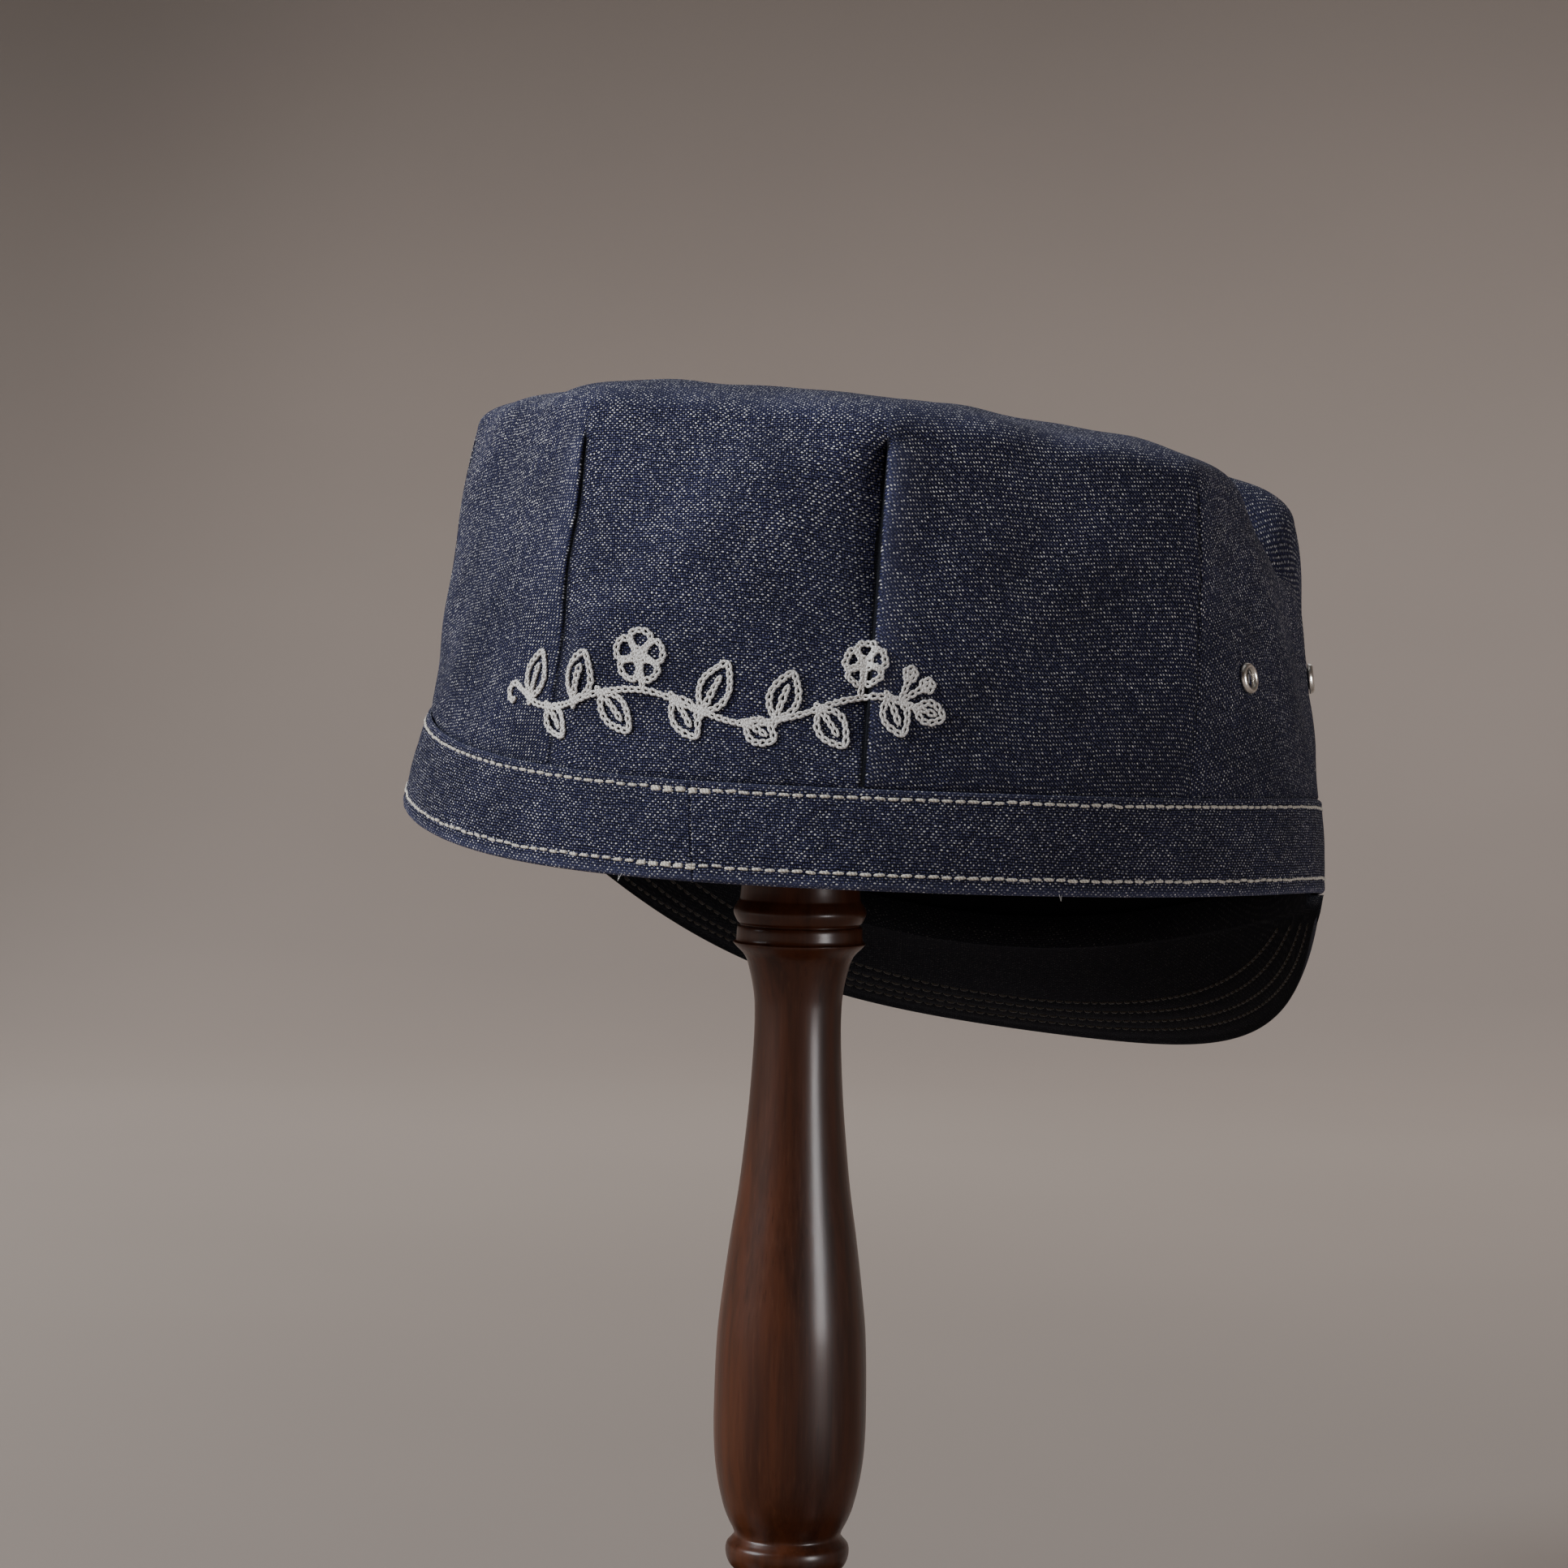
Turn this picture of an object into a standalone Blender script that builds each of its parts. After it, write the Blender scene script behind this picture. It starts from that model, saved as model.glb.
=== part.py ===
"""A work cap of dark cotton denim, on the turned wooden stand that holds it up.

+Z is up, the peak points to -Y, and the origin is the middle of the stand's underside.
The cap is modelled upright in a frame of its own, whose origin is the middle of the band's
upper edge. It is then leaned over and let down until its crown rests on the stand's knob.
Angles run round the cap from the back, +Y, towards the wearer's right, -X.
"""
import math

import bmesh
import bpy
from mathutils import Matrix, Vector

MM = 0.001
CLEARANCE = 0.3 * MM

# Band: half sizes of its oval outside, at the lower and the upper edge
BAND_LOWER_HALF_LENGTH = 101.0 * MM
BAND_LOWER_HALF_WIDTH = 94.0 * MM
BAND_UPPER_HALF_LENGTH = 97.6 * MM
BAND_UPPER_HALF_WIDTH = 91.2 * MM
BAND_HEIGHT = 18.7 * MM
BAND_WALL = 2.2 * MM
BAND_EDGE = 0.6 * MM

# The band's edges rise and fall round the head: turns, cosine and sine, as shares of WAVE_HEIGHT
WAVE_HEIGHT = 7.6 * MM
BAND_WAVES = (
    (2, -1.00, -0.04),
    (3, 0.21, 0.18),
)

# Crown: one cloth, taken in by eight folds from the band up to its shoulder
CROWN_WALL = 1.5 * MM
CROWN_TUCK_IN = 8.0 * MM
CROWN_SETBACK = 0.8 * MM
SHOULDER_HEIGHT = 69.5 * MM
SHOULDER_FLAT_RADIUS = 78.5 * MM
SHOULDER_ROUND_DOWN = 6.0 * MM
SHOULDER_ROUND_IN = 16.0 * MM
DOME_RISE = 6.4 * MM
DOME_POWER = 2.05
SIDE_BULGE = 0.9 * MM
TOP_SHIFT_X = 5.7 * MM
TOP_SHIFT_Y = -0.4 * MM
TOP_TWIST = -1.3

# Corners of the crown on the wearer's right, repeated on the left:
# angle at the band, angle at the shoulder, rise of the fold as a share of FOLD_RISE,
# and which side of the fold lies on top (1 away from the back, -1 towards the back)
CORNERS = (
    (20.5, 21.75, 1.0, 1),
    (62.5, 66.75, 0.35, 1),
    (117.5, 113.25, 0.35, -1),
    (159.5, 158.25, 1.0, -1),
)
FLATS = (0.0, 43.5, 90.0, 136.5, 180.0, 223.5, 270.0, 316.5)
CORNER_SHARPNESS = 60.0
FOLD_RISE = 1.4 * MM
FOLD_FADE = 9.0 * MM
FOLD_LIP = 0.5 * MM
FOLD_END = 0.25
PANEL_STEPS = 8
SHARP_FROM = 40.0

# Rows of the crown's cloth, as shares of its side, of the turn of its shoulder and of its top
SIDE_ROWS = (0.0, 0.2, 0.42, 0.64, 0.82)
SHOULDER_ROWS = (0.0, 0.35, 0.7)
SHOULDER_TILT = 0.4
TOP_ROWS = (1.0, 0.8, 0.55, 0.28)

# Dents of the soft crown, and one swell: angle, half angle, drop and push inwards as shares
# of DENT_DEPTH, and the height on the side, as a share, from which the dent grows
DENT_DEPTH = 16.0 * MM
DENTS = (
    (102.0, 8.0, 0.90, 0.08, 0.62),
    (91.0, 7.0, 0.24, 0.05, 0.68),
    (130.0, 17.0, -0.16, 0.00, 0.50),
    (268.0, 17.0, 0.12, 0.10, 0.70),
)
DENT_REACH_IN = 0.45

# Peak: a stiff crescent under the front of the band
PEAK_LENGTH = 42.0 * MM
PEAK_DROP = 15.4 * MM
PEAK_ROOT_DROP = 4.6 * MM
PEAK_ARCH = 21.6 * MM
PEAK_SIDE_LIFT = 14.5 * MM
PEAK_HALF_WIDTH = 92.2 * MM
PEAK_OUTLINE_BACK = 15.5 * MM
PEAK_WALL = 3.0 * MM
PEAK_HALF_ANGLE = 70.0
PEAK_OUTLINE_HALF_TURN = 70.5
PEAK_END_TAPER = 0.4
PEAK_TAPER_POWER = 8
PEAK_HOLLOW = 0.5
PEAK_STEPS = 34
PEAK_ROWS = (0.0, 0.2, 0.55, 0.97)

# Eyelets: angle round the cap and height on the crown's side, as a share
EYELETS = (
    ("back", 74.5, 0.345),
    ("front", 110.5, 0.395),
)
EYELET_RADIUS = 3.15 * MM
EYELET_HOLE_RADIUS = 1.75 * MM
EYELET_BARREL_WALL = 0.35 * MM
EYELET_RIM = 1.0 * MM
EYELET_FLANGE = 0.5 * MM
EYELET_FLANGE_RADIUS = 2.9 * MM
EYELET_SIDES = 14
EYELET_CUT_DEPTH = 4.0 * MM

# Rolled rim of an eyelet: share of the way from its hole out to its edge, share of EYELET_RIM
EYELET_ROLL = (
    (0.89, 0.00),
    (1.00, 0.35),
    (0.79, 0.85),
    (0.50, 1.00),
    (0.11, 0.70),
    (0.00, 0.00),
)

# How the cap sits on the stand
LEAN_TO_RIGHT = 3.9
LEAN_FORWARD = 5.6
CAP_X = -13.4 * MM
CAP_Y = -5.5 * MM
REST_STEPS = 10

# Stand: foot, post and knob
FOOT_RADIUS = 72.0 * MM
FOOT_HEIGHT = 22.0 * MM
POST_HEIGHT = 224.8 * MM
POST_RADIUS = 15.8 * MM
KNOB_RADIUS = 52.0 * MM
KNOB_HEIGHT = 27.0 * MM

# Turned profiles, bottom to top: height share, radius share
FOOT_PROFILE = (
    (0.00, 0.965),
    (0.08, 1.00),
    (0.32, 1.00),
    (0.41, 0.97),
    (0.55, 0.86),
    (0.62, 0.62),
    (0.72, 0.36),
    (1.00, 0.20),
)
POST_PROFILE = (
    (0.000, 0.84), (0.013, 0.74), (0.034, 0.66), (0.054, 0.67), (0.060, 0.70),
    (0.066, 0.77), (0.075, 0.81), (0.083, 0.80), (0.088, 0.74), (0.093, 0.70),
    (0.107, 0.79), (0.119, 0.855), (0.143, 0.935), (0.170, 0.985), (0.210, 1.00), (0.277, 0.975),
    (0.322, 0.91), (0.366, 0.83), (0.411, 0.735), (0.456, 0.665), (0.500, 0.61),
    (0.552, 0.57), (0.582, 0.57), (0.597, 0.594), (0.612, 0.639), (0.627, 0.71),
    (0.639, 0.865), (0.6415, 0.83), (0.654, 0.815), (0.656, 0.78), (0.659, 0.82),
    (0.668, 0.87), (0.676, 0.82), (0.680, 0.79), (0.720, 0.74), (0.790, 0.66),
    (0.920, 0.66), (0.975, 0.90), (1.000, 1.25),
)
KNOB_PROFILE = (
    (0.00, 0.42), (0.02, 0.80), (0.10, 0.93), (0.25, 0.99), (0.40, 1.00),
    (0.56, 0.955), (0.72, 0.83), (0.85, 0.65), (0.94, 0.42), (0.985, 0.20),
)
KNOB_WIDEST = 0.40
TURNED_SIDES = 30


def clear_scene():
    for item in list(bpy.data.objects):
        bpy.data.objects.remove(item, do_unlink=True)


def material(name, colour, roughness, metallic=0.0):
    made = bpy.data.materials.new(name)
    made.use_nodes = True
    shader = made.node_tree.nodes["Principled BSDF"]
    shader.inputs["Base Color"].default_value = (*colour, 1.0)
    shader.inputs["Roughness"].default_value = roughness
    shader.inputs["Metallic"].default_value = metallic
    return made


def loft(name, loops, finish, start=None, end=None):
    """One closed body through loops of equal count, counter-clockwise seen from beyond the last.

    A start and an end point close it at two poles, and without them it closes on itself.
    """
    mesh = bpy.data.meshes.new(name)
    build = bmesh.new()
    rows = [[build.verts.new(point) for point in loop] for loop in loops]
    pairs = list(zip(rows, rows[1:]))
    if start is None:
        pairs.append((rows[-1], rows[0]))
    for low, high in pairs:
        for here in range(len(low)):
            there = (here + 1) % len(low)
            build.faces.new((low[here], low[there], high[there], high[here]))
    if start is not None:
        first = build.verts.new(start)
        last = build.verts.new(end)
        for here in range(len(rows[0])):
            there = (here + 1) % len(rows[0])
            build.faces.new((first, rows[0][there], rows[0][here]))
            build.faces.new((last, rows[-1][here], rows[-1][there]))
    bmesh.ops.triangulate(build, faces=build.faces[:])
    build.to_mesh(mesh)
    build.free()
    mesh.shade_smooth()
    mesh.set_sharp_from_angle(angle=math.radians(SHARP_FROM))
    mesh.materials.append(finish)
    made = bpy.data.objects.new(name, mesh)
    bpy.context.collection.objects.link(made)
    return made


def oval(half_length, half_width, angle):
    return Vector((-half_width * math.sin(angle), half_length * math.cos(angle), 0.0))


def wave(angle):
    total = sum(c * math.cos(n * angle) + s * math.sin(n * angle) for n, c, s in BAND_WAVES)
    return WAVE_HEIGHT * total


def band_point(angle, depth, inset):
    """A point on the band: depth below its upper edge, inset inwards from its outer face."""
    share = depth / BAND_HEIGHT
    half_length = BAND_UPPER_HALF_LENGTH + share * (BAND_LOWER_HALF_LENGTH - BAND_UPPER_HALF_LENGTH)
    half_width = BAND_UPPER_HALF_WIDTH + share * (BAND_LOWER_HALF_WIDTH - BAND_UPPER_HALF_WIDTH)
    point = oval(half_length - inset, half_width - inset, angle)
    point.z = wave(angle) - depth
    return point


def all_corners():
    """Each corner as (angle at the band, angle at the shoulder, fold share, lip side)."""
    right = [(math.radians(low), math.radians(top), share, lip) for low, top, share, lip in CORNERS]
    left = [(math.tau - low, math.tau - top, share, -lip) for low, top, share, lip in reversed(right)]
    return right + left


def angle_apart(one, other):
    return (one - other + math.pi) % math.tau - math.pi


def column_angles():
    """Angles at the band of the crown's columns, with two at each fold, one on either side."""
    corners = [row[0] for row in all_corners()]
    lip = FOLD_LIP / BAND_UPPER_HALF_LENGTH
    angles = []
    for here, there in zip(corners, corners[1:] + [corners[0] + math.tau]):
        start = here + lip
        span = there - lip - start
        angles += [start + span * step / PANEL_STEPS for step in range(PANEL_STEPS + 1)]
    return angles


def shoulder_angle(angle):
    """The angle at the shoulder of the column that leaves the band at this angle."""
    corners = all_corners()
    lows = [row[0] for row in corners]
    tops = [row[1] for row in corners]
    lows = [lows[-1] - math.tau] + lows + [lows[0] + math.tau]
    tops = [tops[-1] - math.tau] + tops + [tops[0] + math.tau]
    angle = angle % math.tau
    for low, high, top_low, top_high in zip(lows, lows[1:], tops, tops[1:]):
        if low <= angle <= high:
            return top_low + (top_high - top_low) * (angle - low) / (high - low)
    return angle


def shoulder_radius(angle):
    """Radius of an eight-sided outline with softened corners."""
    total = 0.0
    for flat in FLATS:
        total += max(0.0, math.cos(angle - math.radians(flat))) ** CORNER_SHARPNESS
    return SHOULDER_FLAT_RADIUS * total ** (-1.0 / CORNER_SHARPNESS)


def fold_rise(angle):
    """How far a fold lifts the cloth beside it: full at its lip, nothing beyond the fold."""
    rise = 0.0
    for low, _, share, lip in all_corners():
        apart = angle_apart(angle, low) * lip * BAND_UPPER_HALF_LENGTH
        if 0.0 < apart < FOLD_FADE:
            rise += FOLD_RISE * share * (1.0 - apart / FOLD_FADE)
    return rise


def smooth(value):
    value = min(1.0, max(0.0, value))
    return value * value * (3.0 - 2.0 * value)


def dent(angle, height, reach):
    """Drop and push of the dents at a height share, reach being the share of the way out."""
    drop = 0.0
    push = 0.0
    for middle, half, drop_share, push_share, start in DENTS:
        apart = math.degrees(angle_apart(angle, math.radians(middle))) / half
        amount = math.exp(-apart * apart)
        amount *= smooth((height - start) / (1.0 - start))
        amount *= smooth((reach - DENT_REACH_IN) / (1.0 - DENT_REACH_IN))
        drop += DENT_DEPTH * drop_share * amount
        push += DENT_DEPTH * push_share * amount
    return drop, push


def crown_axis(height):
    return Vector((TOP_SHIFT_X, TOP_SHIFT_Y, 0.0)) * (height / SHOULDER_HEIGHT)


def crown_base(angle):
    point = band_point(angle, 0.0, CROWN_SETBACK)
    point.z += 2.0 * CLEARANCE
    return point


def shoulder_corner(angle):
    """Where the side and the top would meet if the shoulder were sharp."""
    top = shoulder_angle(angle)
    radius = shoulder_radius(top)
    top += math.radians(TOP_TWIST)
    point = Vector((-radius * math.sin(top), radius * math.cos(top), SHOULDER_HEIGHT))
    return point + crown_axis(SHOULDER_HEIGHT)


def crown_side(angle, share):
    """A point of the crown's side, from the band at share 0 to the shoulder's corner at 1."""
    base = crown_base(angle)
    corner = shoulder_corner(angle)
    point = base.lerp(corner, share)
    outward = (corner - crown_axis(SHOULDER_HEIGHT)).to_2d().normalized()
    fade = smooth((1.0 - share) / FOLD_END)
    drop, push = dent(angle, share, 1.0)
    swell = SIDE_BULGE * math.sin(math.pi * share) + fold_rise(angle) * fade - push
    return point + Vector((outward.x * swell, outward.y * swell, -drop))


def crown_top(angle, reach):
    """A point of the crown's top, from the middle at reach 0 to the shoulder's corner at 1."""
    centre = crown_axis(SHOULDER_HEIGHT) + Vector((0.0, 0.0, SHOULDER_HEIGHT))
    corner = shoulder_corner(angle)
    point = centre.lerp(corner, reach)
    point.z += DOME_RISE * (1.0 - reach ** DOME_POWER)
    outward = (corner - centre).to_2d().normalized()
    drop, push = dent(angle, 1.0, reach)
    return point + Vector((-outward.x * push, -outward.y * push, -drop))


def crown_shoulder(angle, turn):
    """The rounded shoulder, from the side at turn 0 to the top at turn 1."""
    corner = crown_side(angle, 1.0)
    side_length = (shoulder_corner(angle) - crown_base(angle)).length
    top_length = shoulder_radius(shoulder_angle(angle))
    start = crown_side(angle, 1.0 - SHOULDER_ROUND_DOWN / side_length)
    end = crown_top(angle, 1.0 - SHOULDER_ROUND_IN / top_length)
    return start.lerp(corner, turn).lerp(corner.lerp(end, turn), turn)


def crown_column(angle):
    """Outer points of one column, from inside the band up to the top, with each point's inward way."""
    outward = crown_base(angle)
    outward.z = 0.0
    inward = -outward.normalized()
    down = Vector((0.0, 0.0, -1.0))
    side_length = (shoulder_corner(angle) - crown_base(angle)).length
    top_length = shoulder_radius(shoulder_angle(angle))
    side_end = 1.0 - SHOULDER_ROUND_DOWN / side_length
    top_start = 1.0 - SHOULDER_ROUND_IN / top_length
    column = [
        (band_point(angle, CROWN_TUCK_IN, BAND_WALL + CLEARANCE), inward),
        (band_point(angle, 0.0, BAND_WALL + CLEARANCE), inward),
    ]
    for share in SIDE_ROWS:
        column.append((crown_side(angle, share * side_end), inward))
    for turn in SHOULDER_ROWS:
        way = (inward * (1.0 - turn) + down * (SHOULDER_TILT + turn)).normalized()
        column.append((crown_shoulder(angle, turn), way))
    for share in TOP_ROWS:
        column.append((crown_top(angle, share * top_start), down))
    return column


def crown(finish):
    columns = [crown_column(angle) for angle in column_angles()]
    count = len(columns[0])
    outer = [[column[row][0] for column in columns] for row in range(count)]
    inner = [[point + way * CROWN_WALL for point, way in (column[row] for column in columns)]
             for row in range(count)]
    peak_point = crown_top(0.0, 0.0)
    inner_peak = peak_point - Vector((0.0, 0.0, CROWN_WALL))
    return loft("crown", inner[::-1] + outer, finish, inner_peak, peak_point)


def band(finish):
    steps = PANEL_STEPS * len(FLATS) + len(FLATS)
    angles = [math.tau * step / steps for step in range(steps)]
    corners = (
        (BAND_EDGE, 0.0), (BAND_HEIGHT - BAND_EDGE, 0.0), (BAND_HEIGHT, BAND_EDGE),
        (BAND_HEIGHT, BAND_WALL - BAND_EDGE), (BAND_HEIGHT - BAND_EDGE, BAND_WALL),
        (BAND_EDGE, BAND_WALL), (0.0, BAND_WALL - BAND_EDGE), (0.0, BAND_EDGE),
    )
    loops = [[band_point(angle, depth, inset) for angle in angles] for depth, inset in reversed(corners)]
    return loft("band", loops, finish)


def peak_height(x, y):
    """Height of the peak's upper face: a board that slopes forward and is arched across."""
    forward = (-y - BAND_LOWER_HALF_LENGTH) / PEAK_LENGTH
    across = x / PEAK_HALF_WIDTH
    front = wave(math.pi) - BAND_HEIGHT - CLEARANCE - PEAK_ROOT_DROP
    return front - PEAK_DROP * forward - PEAK_ARCH * across ** 2 + PEAK_SIDE_LIFT * across ** 4


def peak_section(share):
    """Cross-section of the peak, share running from -1 on the right to 1 on the left."""
    angle = math.pi + share * math.radians(PEAK_HALF_ANGLE)
    turn = share * math.radians(PEAK_OUTLINE_HALF_TURN)
    reach = PEAK_OUTLINE_BACK + BAND_LOWER_HALF_LENGTH + PEAK_LENGTH
    x = PEAK_HALF_WIDTH * math.sin(turn)
    y = PEAK_OUTLINE_BACK - reach * math.cos(turn)
    drop = Vector((0.0, 0.0, CLEARANCE))
    root = band_point(angle, BAND_HEIGHT, BAND_WALL) - drop
    hem = band_point(angle, BAND_HEIGHT, 0.0) - drop
    edge = hem.lerp(Vector((x, y, peak_height(x, y))), 1.0 - PEAK_END_TAPER * abs(share) ** PEAK_TAPER_POWER)
    root_step = hem.z - peak_height(hem.x, hem.y)
    outward = Vector((hem.x, hem.y, 0.0)).normalized()
    under = Vector((-outward.x * PEAK_DROP, -outward.y * PEAK_DROP, -PEAK_LENGTH)).normalized()
    sink = Vector((0.0, 0.0, -PEAK_HOLLOW * min(PEAK_ROOT_DROP, root_step)))
    upper_face = [hem.lerp(edge, row) + sink * math.sin(math.pi * row) ** 2 for row in PEAK_ROWS]
    lower_face = [point + under * PEAK_WALL for point in upper_face]
    rim = edge + under * PEAK_WALL * 0.5
    return [root] + upper_face + [rim] + lower_face[:0:-1] + [root + under * PEAK_WALL]


def peak(finish):
    sections = [peak_section(2.0 * step / PEAK_STEPS - 1.0) for step in range(PEAK_STEPS + 1)]
    first = sum(sections[0], Vector()) / len(sections[0])
    last = sum(sections[-1], Vector()) / len(sections[-1])
    return loft("peak", sections, finish, first, last)


def ring_loops(profile, sides):
    """Circles round +Z through the radius and height of each row of a profile."""
    turns = [math.tau * side / sides for side in range(sides)]
    return [[Vector((radius * math.cos(turn), radius * math.sin(turn), height)) for turn in turns]
            for radius, height in profile]


def eyelet_frame(angle, share):
    """Middle of an eyelet on the crown's outer face, with +Z outwards and +Y up the side."""
    step = 0.01
    middle = crown_side(angle, share)
    along = crown_side(angle + step, share) - crown_side(angle - step, share)
    up = crown_side(angle, share + step) - crown_side(angle, share - step)
    outward = along.cross(up).normalized()
    up = up.normalized()
    across = up.cross(outward)
    frame = Matrix((across, up, outward)).transposed().to_4x4()
    frame.translation = middle
    return frame


def eyelet(name, frame, finish):
    barrel = EYELET_HOLE_RADIUS + EYELET_BARREL_WALL
    face = CLEARANCE
    back = -CROWN_WALL - CLEARANCE
    roll = [(EYELET_HOLE_RADIUS + out * (EYELET_RADIUS - EYELET_HOLE_RADIUS), face + rise * EYELET_RIM)
            for out, rise in EYELET_ROLL]
    flange = [
        (EYELET_HOLE_RADIUS, back - EYELET_FLANGE),
        (EYELET_FLANGE_RADIUS, back - EYELET_FLANGE),
        (EYELET_FLANGE_RADIUS, back),
    ]
    profile = [(barrel, back), (barrel, face)] + roll + flange
    made = loft(name, ring_loops(profile, EYELET_SIDES), finish)
    made.matrix_local = frame
    return made


def eyelet_cutter(frames, finish):
    """Four short rods that open the crown for the eyelets."""
    radius = EYELET_HOLE_RADIUS + EYELET_BARREL_WALL + CLEARANCE
    build = bmesh.new()
    for frame in frames:
        bmesh.ops.create_cone(build, cap_ends=True, segments=EYELET_SIDES, radius1=radius,
                              radius2=radius, depth=2.0 * EYELET_CUT_DEPTH, matrix=frame)
    mesh = bpy.data.meshes.new("eyelet_cutter")
    build.to_mesh(mesh)
    build.free()
    mesh.materials.append(finish)
    made = bpy.data.objects.new("eyelet_cutter", mesh)
    bpy.context.collection.objects.link(made)
    made.hide_render = True
    made.display_type = "WIRE"
    return made


def turned(name, profile, radius, height, foot, finish):
    """A turned piece standing on the height foot, from a profile in shares."""
    rows = [(share_out * radius, foot + share_up * height) for share_up, share_out in profile]
    start = Vector((0.0, 0.0, foot))
    end = Vector((0.0, 0.0, foot + height))
    return loft(name, ring_loops(rows, TURNED_SIDES), finish, start, end)


def knob_top(radius):
    """Height of the knob's upper face over its underside at a distance from its axis."""
    rows = [row for row in KNOB_PROFILE if row[0] >= KNOB_WIDEST] + [(1.0, 0.0)]
    share = radius / KNOB_RADIUS
    for (low, wide), (high, narrow) in zip(rows, rows[1:]):
        if narrow <= share <= wide:
            return KNOB_HEIGHT * (low + (high - low) * (wide - share) / (wide - narrow))
    return 0.0


def cap_matrix():
    """The cap's lean and place, let down until the crown rests on the knob."""
    lean = Matrix.Rotation(-math.radians(LEAN_TO_RIGHT), 4, "Y")
    lean = Matrix.Translation((CAP_X, CAP_Y, 0.0)) @ lean
    lean = lean @ Matrix.Rotation(math.radians(LEAN_FORWARD), 4, "X")
    knob_foot = FOOT_HEIGHT + POST_HEIGHT + 2.0 * CLEARANCE
    rise = 0.0
    for angle in column_angles():
        for step in range(REST_STEPS + 1):
            under = crown_top(angle, step / REST_STEPS) - Vector((0.0, 0.0, CROWN_WALL))
            under = lean @ under
            distance = math.hypot(under.x, under.y)
            if distance < KNOB_RADIUS:
                rise = max(rise, knob_foot + knob_top(distance) + CLEARANCE - under.z)
    return Matrix.Translation((0.0, 0.0, rise)) @ lean


def cap(denim, under_denim, nickel):
    frame = bpy.data.objects.new("cap", None)
    bpy.context.collection.objects.link(frame)
    frame.matrix_world = cap_matrix()
    shell = crown(denim)
    pieces = [shell, band(denim), peak(under_denim)]
    frames = []
    for place, degrees, share in EYELETS:
        for side, sign in (("right", 1.0), ("left", -1.0)):
            spot = eyelet_frame(sign * math.radians(degrees), share)
            frames.append(spot)
            pieces.append(eyelet(f"eyelet_{side}_{place}", spot, nickel))
    cutter = eyelet_cutter(frames, denim)
    holes = shell.modifiers.new("eyelet_holes", "BOOLEAN")
    holes.object = cutter
    holes.operation = "DIFFERENCE"
    for piece in pieces + [cutter]:
        piece.parent = frame


def stand(wood):
    turned("stand_foot", FOOT_PROFILE, FOOT_RADIUS, FOOT_HEIGHT, 0.0, wood)
    post_foot = FOOT_HEIGHT + CLEARANCE
    turned("stand_post", POST_PROFILE, POST_RADIUS, POST_HEIGHT, post_foot, wood)
    knob_foot = post_foot + POST_HEIGHT + CLEARANCE
    turned("stand_knob", KNOB_PROFILE, KNOB_RADIUS, KNOB_HEIGHT, knob_foot, wood)


def main():
    clear_scene()
    denim = material("denim", (0.035, 0.045, 0.095), 0.9)
    under_denim = material("under_denim", (0.02, 0.024, 0.05), 0.9)
    nickel = material("nickel", (0.72, 0.70, 0.66), 0.25, 1.0)
    wood = material("dark_wood", (0.085, 0.03, 0.014), 0.25)
    stand(wood)
    cap(denim, under_denim, nickel)


main()
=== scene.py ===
"""Looks of the denim work cap on its turned wooden stand.

The cap's surfaces follow the same named sizes as the solids, in a frame whose origin is the middle
of the band's upper edge. Angles run round the cap from the back, +Y, towards the wearer's right, -X.
Cloth coordinates are kept in a UV map, in millimetres, so that the weave has its real size.
"""
import math

import bpy
import numpy as np
from mathutils import Matrix, Vector


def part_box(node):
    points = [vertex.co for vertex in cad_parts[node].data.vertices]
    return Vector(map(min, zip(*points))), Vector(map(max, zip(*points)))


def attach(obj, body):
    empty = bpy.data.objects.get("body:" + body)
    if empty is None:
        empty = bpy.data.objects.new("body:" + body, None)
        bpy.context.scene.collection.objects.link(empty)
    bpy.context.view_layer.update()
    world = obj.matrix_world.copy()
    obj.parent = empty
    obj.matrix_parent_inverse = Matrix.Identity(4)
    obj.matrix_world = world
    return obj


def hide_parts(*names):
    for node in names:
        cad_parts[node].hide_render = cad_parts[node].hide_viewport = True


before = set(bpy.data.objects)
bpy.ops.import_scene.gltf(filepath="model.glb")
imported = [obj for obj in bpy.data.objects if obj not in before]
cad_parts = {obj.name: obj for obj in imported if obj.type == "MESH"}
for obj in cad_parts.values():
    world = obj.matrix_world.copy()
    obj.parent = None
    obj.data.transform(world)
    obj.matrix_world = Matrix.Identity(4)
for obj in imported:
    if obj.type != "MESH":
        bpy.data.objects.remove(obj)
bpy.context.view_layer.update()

MM = 0.001
CLEARANCE = 0.3 * MM
TURN = 2.0 * math.pi
UP = np.array([0.0, 0.0, 1.0])
LEVEL = np.array([1.0, 1.0, 0.0])

# Band
BAND_LOWER_HALF_LENGTH = 101.0 * MM
BAND_LOWER_HALF_WIDTH = 94.0 * MM
BAND_UPPER_HALF_LENGTH = 97.6 * MM
BAND_UPPER_HALF_WIDTH = 91.2 * MM
BAND_HEIGHT = 18.7 * MM
BAND_WALL = 2.2 * MM
BAND_EDGE = 0.6 * MM
WAVE_HEIGHT = 7.6 * MM
BAND_WAVES = ((2, -1.00, -0.04), (3, 0.21, 0.18))
MM_PER_DEGREE = BAND_UPPER_HALF_LENGTH / MM * math.radians(1.0)

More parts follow.
